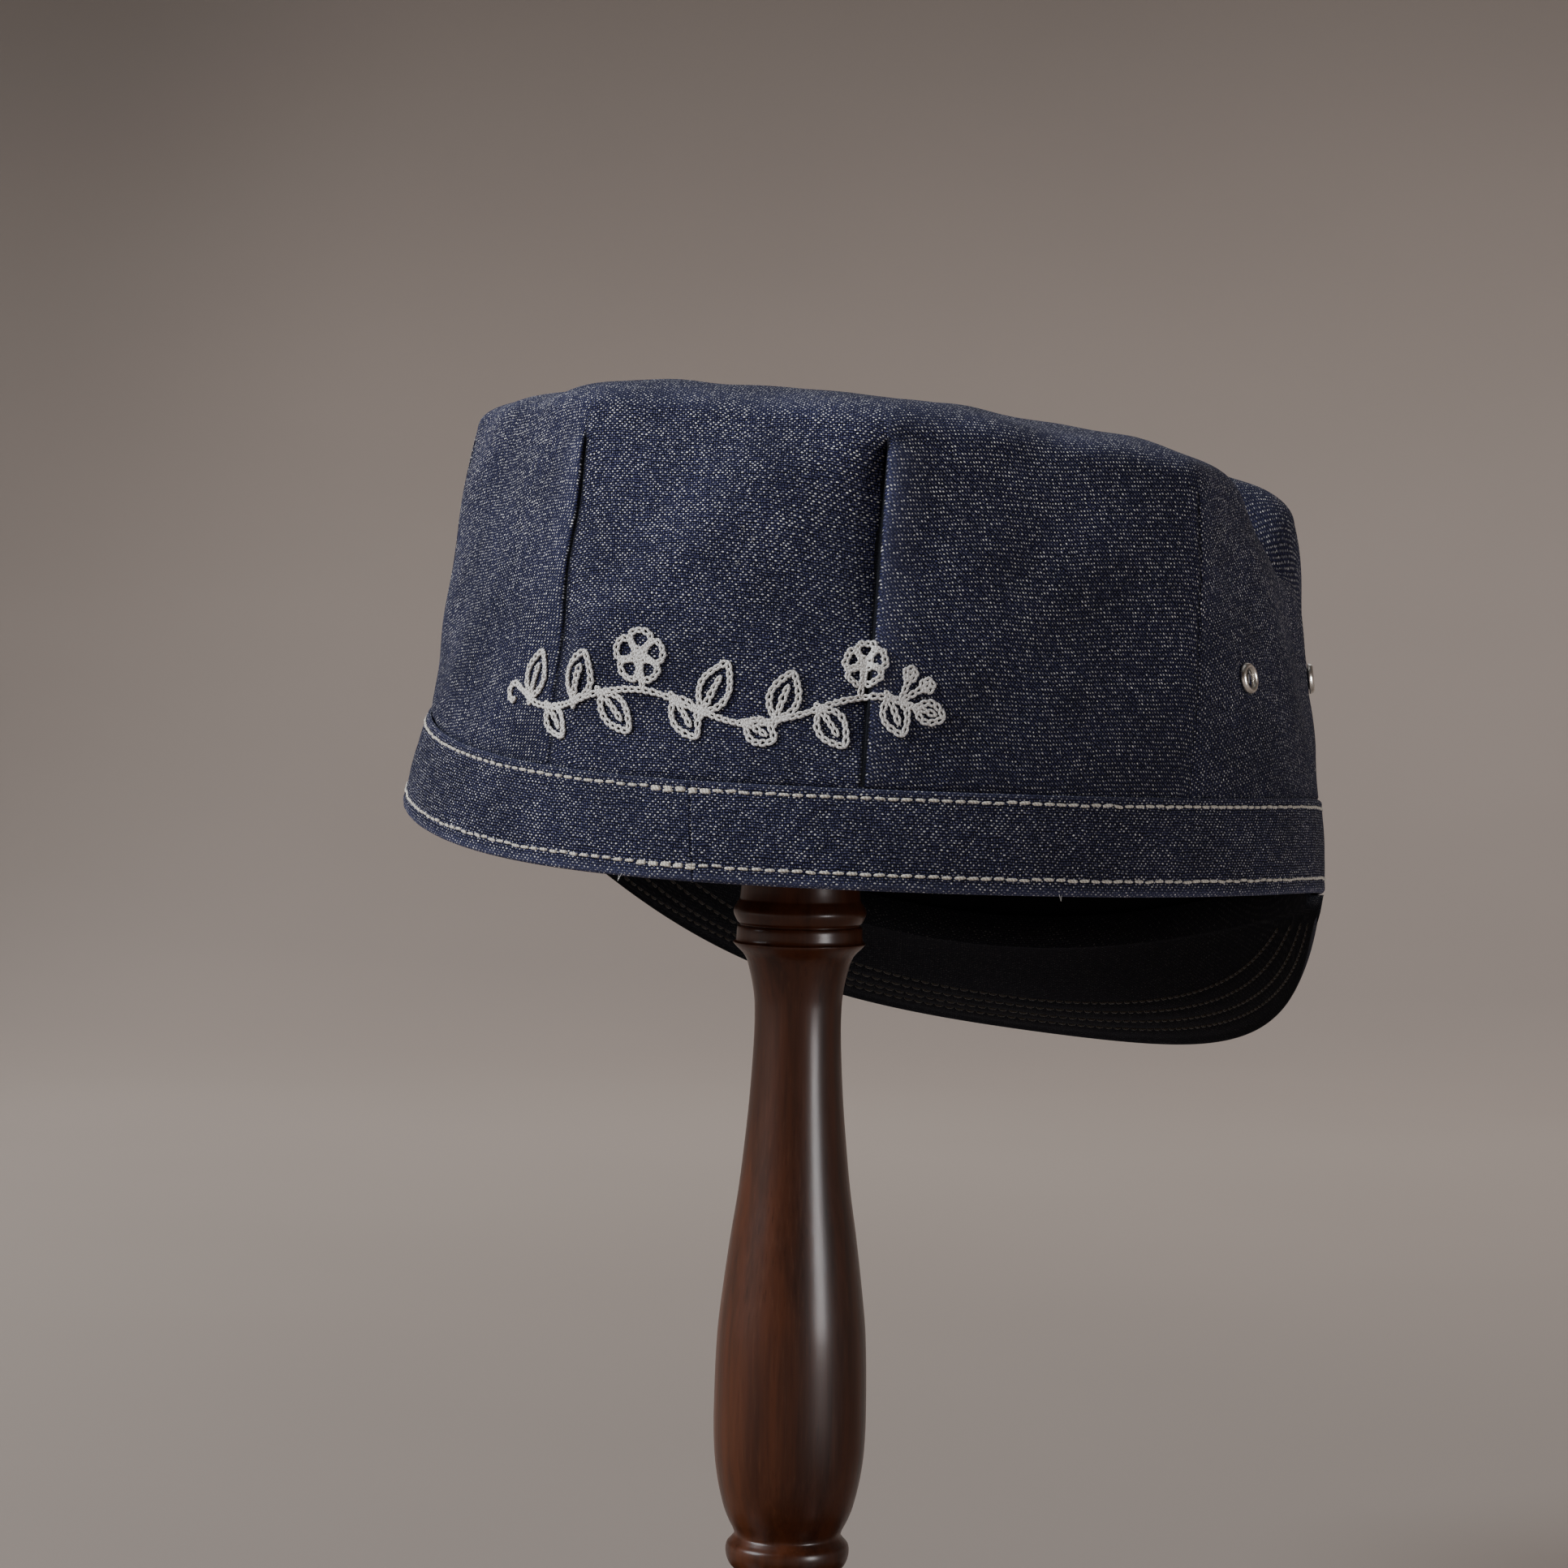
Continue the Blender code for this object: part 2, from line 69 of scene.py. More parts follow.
# Crown
CROWN_WALL = 1.5 * MM
CROWN_TUCK_IN = 8.0 * MM
CROWN_SETBACK = 0.8 * MM
SHOULDER_HEIGHT = 69.5 * MM
SHOULDER_FLAT_RADIUS = 78.5 * MM
SHOULDER_ROUND_DOWN = 6.0 * MM
SHOULDER_ROUND_IN = 16.0 * MM
DOME_RISE = 6.4 * MM
DOME_POWER = 2.05
SIDE_BULGE = 0.9 * MM
TOP_MIDDLE = np.array([5.7 * MM, -0.4 * MM, SHOULDER_HEIGHT])
TOP_TWIST = math.radians(-1.3)
CORNER_SHARPNESS = 60.0
DENT_DEPTH = 16.0 * MM
DENT_REACH_IN = 0.45

# Corners from the back to the front on the wearer's right, repeated on the left: angle at the
# band, angle at the shoulder, the fold's upper side (1 away from the back), its strength on the
# right and on the left, and the height share of its tip on the right and on the left
CORNERS = (
    (20.5, 21.75, 1, 1.00, 0.42, 0.90, 0.87),
    (62.5, 66.75, 1, 0.16, 0.16, 0.90, 0.90),
    (117.5, 113.25, -1, 0.16, 0.16, 0.90, 0.90),
    (159.5, 158.25, -1, 1.00, 1.00, 0.88, 0.88),
)
FLATS = (0.0, 43.5, 90.0, 136.5, 180.0, 223.5, 270.0, 316.5)

# Dents: angle, half angle, drop and push as shares of DENT_DEPTH, and where on the side each starts
DENTS = (
    (102.0, 8.0, 0.90, 0.08, 0.62),
    (91.0, 7.0, 0.24, 0.05, 0.68),
    (130.0, 17.0, -0.16, 0.00, 0.50),
    (268.0, 17.0, 0.12, 0.10, 0.70),
)

# Section of a fold, from the panel below to the panel on top, in mm: place when folded, place where
# the fold has closed, rise of the cloth, whether it belongs to the panel on top, and painted shade
FOLD_SECTION = (
    (-11.0, -11.0, 0.00, 0, 0.0), (-7.50, -7.50, -0.14, 0, 0.0), (-4.80, -4.80, -0.40, 0, 0.0),
    (-3.00, -3.00, -0.66, 0, 0.0), (-1.80, -1.80, -0.92, 0, 0.0), (-1.15, -1.20, -1.14, 0, 0.10),
    (-0.76, -0.80, -1.30, 0, 0.75), (-0.50, -0.50, -1.46, 0, 1.0), (-0.30, -0.25, -1.52, 0, 1.0),
    (-0.12, -0.05, -1.50, 1, 1.0), (-0.06, 0.10, -1.20, 1, 1.0), (-0.10, 0.25, -0.70, 1, 1.0),
    (-0.12, 0.40, -0.20, 1, 0.8), (-0.04, 0.55, 0.24, 1, 0.15), (0.18, 0.75, 0.60, 1, 0.0),
    (0.60, 1.05, 0.86, 1, 0.0), (1.30, 1.50, 0.98, 1, 0.0), (2.80, 2.80, 0.86, 1, 0.0),
    (5.20, 5.20, 0.48, 1, 0.0), (9.00, 9.00, 0.00, 1, 0.0),
)
FOLD_CLOSING = 0.05
FOLD_AT_BAND = 0.22
FOLD_GROWTH = 1.4
# The painted shade's least share below a weak fold, and the share under which a row of the section counts as
# lit
SHADE_LEAST = 0.30
SHADE_LIT = 0.5

# How the cap sits on the stand
LEAN_TO_RIGHT = 3.9
LEAN_FORWARD = 5.6
CAP_X = -13.4 * MM
CAP_Y = -5.5 * MM


# Curves of the cap, for arrays of angles in radians

def smooth(value):
    value = np.clip(value, 0.0, 1.0)
    return value * value * (3.0 - 2.0 * value)


def unit(vectors):
    return vectors / np.linalg.norm(vectors, axis=-1, keepdims=True)


def run(points, axis=0):
    """Lengths along rows of points, from their first one on."""
    steps = np.linalg.norm(np.diff(points, axis=axis), axis=-1)
    return np.concatenate([0.0 * steps.take([0], axis=axis), np.cumsum(steps, axis=axis)], axis=axis)


def apart(angle, middle):
    """The turn from the middle to each angle, at most half round."""
    return (angle - middle + math.pi) % TURN - math.pi


def ways_out(angle):
    return np.stack([-np.sin(angle), np.cos(angle), 0.0 * angle], axis=-1)


def wave(angle):
    return WAVE_HEIGHT * sum(c * np.cos(n * angle) + s * np.sin(n * angle) for n, c, s in BAND_WAVES)


def band_point(angle, depth, inset):
    """Points on the band: depth below its upper edge, inset inwards from its outer face."""
    angle, depth, inset = np.broadcast_arrays(angle, depth, inset)
    share = depth / BAND_HEIGHT
    half_length = BAND_UPPER_HALF_LENGTH + share * (BAND_LOWER_HALF_LENGTH - BAND_UPPER_HALF_LENGTH)
    half_width = BAND_UPPER_HALF_WIDTH + share * (BAND_LOWER_HALF_WIDTH - BAND_UPPER_HALF_WIDTH)
    return np.stack([-(half_width - inset) * np.sin(angle), (half_length - inset) * np.cos(angle),
                     wave(angle) - depth], axis=-1)


def all_corners():
    """Each corner as (angle at the band, angle at the shoulder, strength, upper side, tip)."""
    right = [(math.radians(low), math.radians(top), strength, side, tip)
             for low, top, side, strength, _, tip, _ in CORNERS]
    left = [(TURN - math.radians(low), TURN - math.radians(top), strength, -side, tip)
            for low, top, side, _, strength, _, tip in reversed(CORNERS)]
    return right + left


def corner_angles(index):
    """The corners' angles at the band or at the shoulder, with one more at both ends."""
    angles = np.array([row[index] for row in CORNER_ROWS])
    return np.concatenate([angles[-1:] - TURN, angles, angles[:1] + TURN])


CORNER_ROWS = all_corners()
CORNER_LOWS = corner_angles(0)
CORNER_TOPS = corner_angles(1)


def shoulder_angle(angle):
    return np.interp(angle % TURN, CORNER_LOWS, CORNER_TOPS)


def shoulder_radius(angle):
    """Radius of an eight-sided outline with softened corners."""
    total = sum(np.maximum(0.0, np.cos(angle - math.radians(flat))) ** CORNER_SHARPNESS for flat in FLATS)
    return SHOULDER_FLAT_RADIUS * total ** (-1.0 / CORNER_SHARPNESS)


def dent(angle, height, reach):
    """Drop and push of the dents at a height share, reach being the share of the way out."""
    drop = push = 0.0
    for middle, half, drop_share, push_share, start in DENTS:
        amount = np.exp(-(apart(angle, math.radians(middle)) / math.radians(half)) ** 2)
        amount = amount * smooth((height - start) / (1.0 - start))
        amount = amount * smooth((reach - DENT_REACH_IN) / (1.0 - DENT_REACH_IN))
        drop = drop + DENT_DEPTH * drop_share * amount
        push = push + DENT_DEPTH * push_share * amount
    return drop, push


def crown_base(angle):
    return band_point(angle, 0.0, CROWN_SETBACK) + UP * 2.0 * CLEARANCE


def shoulder_corner(angle):
    """Where the side and the top would meet if the shoulder were sharp."""
    top = shoulder_angle(angle)
    return ways_out(top + TOP_TWIST) * shoulder_radius(top)[..., None] + TOP_MIDDLE


def outward_way(angle):
    return ways_out(shoulder_angle(angle) + TOP_TWIST)


# A soft bend runs from low on the back panel's left up to the tip of the right fold, beside which the
# panel sinks. In mm, places along the back from its middle and up from the band
BEND_PLACE = (-18.0, 27.0)
BEND_WAY = math.radians(42.0)
BEND_HEIGHT = 4.0
BEND_SOFTNESS = 4.0
BEND_REACH = 13.0
BEND_ENDS = 9.0
BEND_GAP = 0.2
SINK_DEPTH = 3.2
SINK_START = 4.0
SINK_ENDS = 0.16
SINK_GAP = 0.14
FOLD_PLACE = CORNERS[0][0] * MM_PER_DEGREE
# Shares of the height over which both grow at the band and stop near the shoulder, and where they end
BEND_GROWS = 0.25
BEND_STOPS = 0.18
BEND_TOP = 0.95


def back_bend(angle, share):
    """How far the back panel stands out of its plain shape."""
    along = np.degrees(apart(angle, 0.0)) * MM_PER_DEGREE
    up = share * SHOULDER_HEIGHT / MM
    away = (along - BEND_PLACE[0]) * math.sin(BEND_WAY) - (up - BEND_PLACE[1]) * math.cos(BEND_WAY)
    crest = np.exp((BEND_SOFTNESS - np.hypot(away, BEND_SOFTNESS)) / BEND_REACH)
    crest = crest * smooth((FOLD_PLACE - BEND_GAP - np.abs(along)) / BEND_ENDS)
    sink = smooth((along - SINK_START) / (FOLD_PLACE - SINK_START))
    sink = sink * smooth((FOLD_PLACE - SINK_GAP - along) / SINK_ENDS)
    held = smooth(share / BEND_GROWS) * smooth((BEND_TOP - share) / BEND_STOPS)
    return (BEND_HEIGHT * crest - SINK_DEPTH * sink) * held * MM


def crown_side(angle, share):
    """Points of the crown's side, from the band at share 0 to the shoulder's corner at 1."""
    angle, share = np.broadcast_arrays(angle, share)
    base = crown_base(angle)
    point = base + (shoulder_corner(angle) - base) * share[..., None]
    drop, push = dent(angle, share, 1.0)
    swell = SIDE_BULGE * np.sin(math.pi * share) - push + back_bend(angle, share)
    point = point + outward_way(angle) * swell[..., None]
    point[..., 2] -= drop
    return point


def crown_top(angle, reach):
    """Points of the crown's top, from the middle at reach 0 to the shoulder's corner at 1."""
    angle, reach = np.broadcast_arrays(angle, reach)
    point = TOP_MIDDLE + (shoulder_corner(angle) - TOP_MIDDLE) * reach[..., None]
    drop, push = dent(angle, 1.0, reach)
    point = point - outward_way(angle) * np.asarray(push)[..., None]
    point[..., 2] += DOME_RISE * (1.0 - reach ** DOME_POWER) - drop
    return point


def side_length(angle):
    return np.linalg.norm(shoulder_corner(angle) - crown_base(angle), axis=-1)


def side_end(angle):
    return 1.0 - SHOULDER_ROUND_DOWN / side_length(angle)


def top_start(angle):
    return 1.0 - SHOULDER_ROUND_IN / shoulder_radius(shoulder_angle(angle))


def crown_shoulder(angle, turn):
    """The rounded shoulder, from the side at turn 0 to the top at turn 1."""
    corner = crown_side(angle, 1.0 + 0.0 * angle)
    start = crown_side(angle, side_end(angle))
    low = start + (corner - start) * turn
    high = corner + (crown_top(angle, top_start(angle)) - corner) * turn
    return low + (high - low) * turn


def fold_strength(share, tip):
    """How far a fold is open at a share of the crown's side, tip being where it closes."""
    growth = np.clip(share / tip, 0.0, 1.0) ** FOLD_GROWTH
    return smooth((tip - share) / FOLD_CLOSING) * (FOLD_AT_BAND + (1.0 - FOLD_AT_BAND) * growth)


def fold_rise(angle, share):
    """Rise of the cloth beside the folds, read from the section's lit line, in metres."""
    section = np.array([row for row in FOLD_SECTION if row[4] < SHADE_LIT])
    rise = 0.0
    for low, _, strength, side, tip in CORNER_ROWS:
        place = apart(angle, low) * side * BAND_UPPER_HALF_LENGTH / MM
        amount = np.interp(place, section[:, 0], section[:, 2], left=0.0, right=0.0)
        rise = rise + strength * amount * fold_strength(share, tip)
    return rise * MM


RIPPLE_COUNT = 14
RIPPLE_SEED = 7
RIPPLE_HEIGHT = 0.11 * MM
RIPPLE_LENGTHS = (13.0 * MM, 46.0 * MM)


def ripple(points):
    """Soft unevenness of worn cloth: a few seeded waves of small height."""
    random = np.random.default_rng(RIPPLE_SEED)
    total = 0.0
    for _ in range(RIPPLE_COUNT):
        way = unit(random.normal(size=3))
        length = random.uniform(*RIPPLE_LENGTHS)
        total = total + np.sin(points @ way * TURN / length + random.uniform(0.0, TURN))
    return RIPPLE_HEIGHT * total


PUCKER_HEIGHT = 0.22 * MM
PUCKER_COUNT = 74
PUCKER_FADE = 9.0 * MM


def pucker(angle, away):
    """Small gathers where the crown is sewn to the band, fading away from the seam."""
    uneven = 0.6 + 0.4 * np.sin(5.0 * angle + 1.0) * np.sin(11.0 * angle)
    return PUCKER_HEIGHT * uneven * np.sin(PUCKER_COUNT * angle) * np.exp(-away / PUCKER_FADE)


def unevenness(point, angle, share, part):
    """Ripples, which start a part of the way up from the band, and gathers at it."""
    return ripple(point) * smooth(part * 5.0) + pucker(angle, share * SHOULDER_HEIGHT)


def cloth_point(angle, share, lift):
    """Points on the crown's outer face, folds and unevenness included."""
    point = crown_side(angle, share)
    total = fold_rise(angle, share) + unevenness(point, angle, share, share) + lift
    return point + outward_way(angle) * total[..., None]


# The cap's place on the stand, whose height follows from the lowest point of the band's solid

CAP_TURN = np.array(Matrix.Rotation(-math.radians(LEAN_TO_RIGHT), 3, "Y")
                    @ Matrix.Rotation(math.radians(LEAN_FORWARD), 3, "X"))


def lowest_of_band():
    angles = np.linspace(0.0, TURN, 721)
    return min((band_point(angles, BAND_HEIGHT, inset) @ CAP_TURN.T)[:, 2].min()
               for inset in (BAND_EDGE, BAND_WALL - BAND_EDGE))


CAP_PLACE = np.array([CAP_X, CAP_Y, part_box("band")[0].z - lowest_of_band()])


def to_world(points):
    return points @ CAP_TURN.T + CAP_PLACE


# Mesh helpers

def new_mesh(name, points, faces, finish, slot=None, nodes=(), uv=None, **shares):
    """A smooth piece with that finish, standing for those nodes; given a slot, it moves with the whole.

    It has cloth coordinates for each face's corners if given. Shares are numbers from 0 to 1 for
    each point, which the materials read by name.
    """
    mesh = bpy.data.meshes.new(name)
    mesh.from_pydata(points.tolist(), [], faces)
    if uv is not None:
        mesh.uv_layers.new(name="cloth").data.foreach_set("uv", uv.astype(np.float32).ravel())
    for label, values in shares.items():
        mesh.attributes.new(label, "FLOAT", "POINT").data.foreach_set("value", values.astype(np.float32))
    mesh.shade_smooth()
    mesh.materials.append(finish)
    mesh.validate()
    piece = bpy.data.objects.new(name, mesh)
    bpy.context.scene.collection.objects.link(piece)
    if slot:
        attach(piece, "root")
    if nodes:
        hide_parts(*nodes)
    return piece


def ring_faces(rows, columns, close_rows=False):
    """Faces of a grid whose columns close into a ring, and whose rows may close too."""
    here = np.arange(rows if close_rows else rows - 1)[:, None]
    side = np.arange(columns)[None, :]
    after = (side + 1) % columns
    above = (here + 1) % rows
    return np.stack([here * columns + side, here * columns + after,
                     above * columns + after, above * columns + side], axis=-1).reshape(-1, 4)


def fans(rows, columns):
    """Faces that close a ring grid at its first and last rows, to two points added after it."""
    last = (rows - 1) * columns
    pole = rows * columns
    around = [(side, (side + 1) % columns) for side in range(columns)]
    return [face for side, after in around
            for face in ([pole, after, side], [pole + 1, last + side, last + after])]


# Crown

PANEL_COLUMNS = 38
SIDE_ROWS = 58
SHOULDER_ROWS = 14
SHOULDER_SHARE = 0.12
SHOULDER_WEAR = 0.35
TOP_ROWS = 26
TOP_RIPPLE = 1.4
# Share of painted light on the crown's top
TOP_PAINTED_LIGHT = 0.5
INNER_ROWS = 58
INNER_TURNS = (0.25, 0.5, 0.75)
INNER_TOP_ROWS = 8
PANEL_CLOTH_APART = 200.0
# Rise of a fold's lip from which it is worn, in mm, and how fast the wear grows
LIP_START = 0.2
LIP_GROWTH = 1.3
# Depth and inset of the crown's outer rows inside the band, in mm
CROWN_TUCK = ((8.0, 2.5), (4.0, 2.5), (1.5, 2.5), (0.95, 2.2), (0.85, 1.75), (0.35, 1.4), (-0.2, 1.15))


def section_of(side):
    """A fold's section in rising angle."""
    return FOLD_SECTION if side > 0 else FOLD_SECTION[::-1]


def section_end(side, index):
    return side * section_of(side)[index][1] * MM / BAND_UPPER_HALF_LENGTH


def crown_columns():
    """Columns in rising angle: start, strength, folded and closed place, rise, panel, tip and shade."""
    columns = []
    for index, (low, _, strength, side, tip) in enumerate(CORNER_ROWS):
        after = (index + 1) % len(CORNER_ROWS)
        for folded, closed, rise, on_top, shade in section_of(side):
            shade = shade if on_top else shade * (SHADE_LEAST + (1.0 - SHADE_LEAST) * strength)
            panel = after if on_top == (side > 0) else index
            columns.append((low, strength, side * folded * MM, side * closed * MM, rise * MM, panel,
                            tip, shade))
        first = low + section_end(side, -1)
        last = CORNER_ROWS[after][0] + section_end(CORNER_ROWS[after][3], 0)
        last += TURN if last < first else 0.0
        for step in range(1, PANEL_COLUMNS + 1):
            angle = first + (last - first) * step / (PANEL_COLUMNS + 1)
            columns.append((angle, 0.0, 0.0, 0.0, 0.0, after, tip, 0.0))
    return columns


def crown_grid():
    """Outer points of the crown row by row, with their cloth coordinates and shares."""
    start, strength, folded, closed, rise, panel, tip, shade = map(np.array, zip(*crown_columns()))
    flat_angle = start + closed / BAND_UPPER_HALF_LENGTH
    lip = np.clip((rise / MM - LIP_START) * LIP_GROWTH, 0.0, 1.0)
    rows = []
    # Each row's shares: wear, the folds' painted shade, and painted light that grows up the side
    shares = {"wear": [], "shade": [], "painted_top_light": []}

    def add(point, *values):
        rows.append(point)
        for kept, value in zip(shares.values(), values):
            kept.append(value + 0.0 * flat_angle)

    def opened(share):
        open_share = fold_strength(share, tip) * strength
        place = open_share * folded + (1.0 - open_share) * closed
        return start + place / BAND_UPPER_HALF_LENGTH, open_share, shade * smooth(open_share * 4.0)

    for depth, inset in CROWN_TUCK:
        add(band_point(flat_angle, depth * MM, inset * MM), 0.0, 0.0, 0.0)
    for step in range(SIDE_ROWS):
        part = step / (SIDE_ROWS - 1)
        share = part * side_end(flat_angle)
        angle, open_share, shaded = opened(share)
        point = crown_side(angle, share)
        lift = open_share * rise + unevenness(point, angle, share, part)
        add(point + outward_way(angle) * lift[:, None], lip * open_share, shaded, share)
    for step in range(1, SHOULDER_ROWS + 1):
        turn = step / (SHOULDER_ROWS + 1)
        angle, open_share, shaded = opened(side_end(flat_angle) + turn * SHOULDER_SHARE)
        point = crown_shoulder(angle, turn)
        way = unit(outward_way(angle) * (1.0 - turn) + UP * (turn + 0.2))
        wear = np.maximum(lip * open_share, SHOULDER_WEAR * math.sin(math.pi * turn))
        point = point + way * (ripple(point) + open_share * rise)[:, None]
        add(point, wear, shaded, 1.0 - (1.0 - TOP_PAINTED_LIGHT) * turn)
    for step in range(TOP_ROWS):
        point = crown_top(flat_angle, (1.0 - step / TOP_ROWS) * top_start(flat_angle))
        add(point + UP * TOP_RIPPLE * ripple(point)[:, None], 0.0, 0.0, TOP_PAINTED_LIGHT)
    points = np.stack(rows)
    return points, crown_cloth(points, panel), shares, flat_angle


def crown_cloth(points, panel):
    """Cloth coordinates in mm: flat on the top, and on each side panel up it and across it."""
    flats = (np.radians(np.array(FLATS)) + TOP_TWIST)[panel]
    across = ways_out(flats + math.pi / 2.0)
    outward = ways_out(flats)
    top_row = len(points) - TOP_ROWS
    down = run(points[::-1])[::-1]
    along = np.einsum("rcx,cx->rc", points - TOP_MIDDLE, across)
    flat = np.einsum("rcx,cx->rc", points - TOP_MIDDLE, outward)
    out = flat[top_row] + (down - down[top_row])
    out[top_row:] = flat[top_row:]
    return -(along[..., None] * across[:, :2] + out[..., None] * outward[:, :2]) / MM


def crown_inner(flat_angle):
    """Inner points of the crown, from inside the band up towards the middle of the top."""
    inward = -unit(crown_base(flat_angle) * LEVEL)
    rows = [band_point(flat_angle, CROWN_TUCK_IN, BAND_WALL + CLEARANCE) + inward * CROWN_WALL]
    for step in range(INNER_ROWS):
        share = step / (INNER_ROWS - 1) * side_end(flat_angle)
        setback = BAND_WALL * smooth(1.0 - share * 8.0)
        rows.append(crown_side(flat_angle, share) + inward * (CROWN_WALL + setback)[:, None])
    for turn in INNER_TURNS:
        way = unit(inward * (1.0 - turn) - UP * (0.4 + turn))
        rows.append(crown_shoulder(flat_angle, turn) + way * CROWN_WALL)
    for step in range(INNER_TOP_ROWS):
        reach = (1.0 - step / INNER_TOP_ROWS) * top_start(flat_angle)
        rows.append(crown_top(flat_angle, reach) - UP * CROWN_WALL)
    return np.stack(rows)


def crown(finish):
    outer, cloth, shares, flat_angle = crown_grid()
    inner = crown_inner(flat_angle)
    columns = len(flat_angle)
    count = len(inner) + len(outer)
    points = open_holes(np.concatenate([inner[::-1], outer]).reshape(-1, 3))
    faces = ring_faces(count, columns)
    faces = faces[~over_hole(points, faces)].tolist() + fans(count, columns)
    top = crown_top(np.array([0.0]), np.array([0.0]))
    points = np.concatenate([points, top - UP * CROWN_WALL, top])
    panels = (flat_angle[None, :, None] // (TURN / len(FLATS))) * PANEL_CLOTH_APART
    inner_cloth = inner @ np.array([[-1.0, 0.0], [-1.0, 0.0], [0.0, 1.0]]) / MM + panels
    uv = np.concatenate([inner_cloth[::-1], cloth]).reshape(-1, 2)
    uv = np.concatenate([uv, np.zeros((2, 2))])[np.concatenate(faces)]
    blank = np.zeros((len(inner), columns))
    shares = {label: np.append(np.concatenate([blank, rows]), [rows[-1][0]] * 2)
              for label, rows in shares.items()}
    # Painted shade: the inner faces turn to the denim's deep shade colour
    inside = np.append(np.repeat([1.0, 0.0], [len(inner) * columns, len(outer) * columns]), [1.0, 0.0])
    new_mesh("crown_cloth", to_world(points), faces, finish, "denim", ("crown",), uv, inside=inside, **shares)


# Band

STITCH_PITCH = 2.5 * MM
STITCH_LENGTH = 2.15 * MM
STITCH_WIDTH = 0.62 * MM
GROOVE_DEPTH = 0.30 * MM
GROOVE_HALF_WIDTH = 0.62 * MM
BAND_SWELL = 0.22 * MM
ROPING_HEIGHT = 0.09 * MM
ROPING_LENGTH = 7.5 * MM
SEAM_ANGLE = 0.3
SEAM_SLANT = 0.142
SEAM_STEP = 0.34 * MM
SEAM_FADE = 6.0 * MM
SEAM_GROOVE = 0.40 * MM
SEAM_HALF_WIDTH = 0.28 * MM
SEAM_SPECKS = (3.0, 4.7, 5.5, 8.3, 10.1, 10.8, 13.6)
ARC_POINTS = 3601


def arc_table(depth):
    """Angles round the band and the length of cloth up to each, at one depth."""
    angles = np.linspace(0.0, TURN, ARC_POINTS)
    return angles, run(band_point(angles, depth, 0.0))


def middles(length, count):
    """The middles of a number of equal parts of a length."""
    return (np.arange(count) + 0.5) * length / count


def stitch_angles(depth):
    """Angle of each stitch of a row that runs right round the band."""
    angles, lengths = arc_table(depth)
    return np.interp(middles(lengths[-1], round(lengths[-1] / STITCH_PITCH)), lengths, angles)


# The band's rows of stitches: name, depth and angles
STITCH_DEPTHS = (("upper", 1.7 * MM), ("lower", 15.7 * MM))
STITCH_ROWS = [(name, depth, stitch_angles(depth)) for name, depth in STITCH_DEPTHS]


def seam_angle(depth):
    """The band's back seam, which leans a little."""
    return np.radians(SEAM_ANGLE + SEAM_SLANT * depth / MM)


def band_relief(angle, depth):
    """How far the band's cloth stands out of its plain face."""
    (_, first, _), (_, last, _) = STITCH_ROWS
    relief = BAND_SWELL * np.sin(math.pi * np.clip((depth - first) / (last - first), 0.0, 1.0))
    for _, row, stitches in STITCH_ROWS:
        phase = np.interp(angle, stitches, np.arange(len(stitches)))
        pull = 0.60 + 0.40 * np.cos(TURN * phase)
        relief = relief - GROOVE_DEPTH * pull * np.exp(-((depth - row) / GROOVE_HALF_WIDTH) ** 2)
    way = angle * BAND_LOWER_HALF_LENGTH
    uneven = 0.5 + 0.5 * np.sin(7.0 * angle + 2.0) * np.sin(17.0 * angle)
    roping = np.sin(TURN * (way + 0.9 * depth) / ROPING_LENGTH + 2.0 * np.sin(9.0 * angle))
    relief = relief + ROPING_HEIGHT * uneven * roping
    place = apart(angle, seam_angle(depth)) * BAND_LOWER_HALF_LENGTH
    step = SEAM_STEP * smooth((place + SEAM_HALF_WIDTH) / (2.0 * SEAM_HALF_WIDTH))
    relief = relief + step * np.exp(-np.maximum(place, 0.0) / SEAM_FADE)
    return relief - SEAM_GROOVE * np.exp(-(place / SEAM_HALF_WIDTH) ** 2)


def band_frame(angle, depth):
    """Ways along the band, down it and out of it."""
    step = 0.002
    along = unit(band_point(angle + step, depth, 0.0) - band_point(angle - step, depth, 0.0))
    down = unit(band_point(angle, depth + step * MM, 0.0) - band_point(angle, depth - step * MM, 0.0))
    return along, down, np.cross(down, along)


def band_surface(angle, depth, lift=0.0, inset=0.0, share=1.0):
    """Points on the band's outer face, lifted off its relief, which counts by its share."""
    angle, depth, inset = np.broadcast_arrays(angle, depth, inset)
    outward = band_frame(angle, depth)[2]
    return band_point(angle, depth, inset) + outward * (band_relief(angle, depth) * share + lift)[..., None]


BAND_COLUMNS = 1180
SEAM_COLUMNS = 61
SEAM_REACH = 0.025
ROLL_STEPS = 9
FACE_STEPS = 36
LIP_STEPS = 6
OUTER_PLY = 1.2 * MM
# Depth and inset where the two plies meet, in mm, then the shares of the way down the inner face
PLIES_MEET = ((1.15, 1.2), (1.25, 1.45), (1.25, 1.95))
INNER_FACE_START = 1.5 * MM
INNER_FACE_ROWS = (0.02, 0.25, 0.5, 0.75, 0.98)
# Wear at the lower hem and, weaker, at the upper lip: how far each reaches
HEM_WORN = 1.3 * MM
LIP_WORN = 0.7 * MM
LIP_WEAR = 0.5


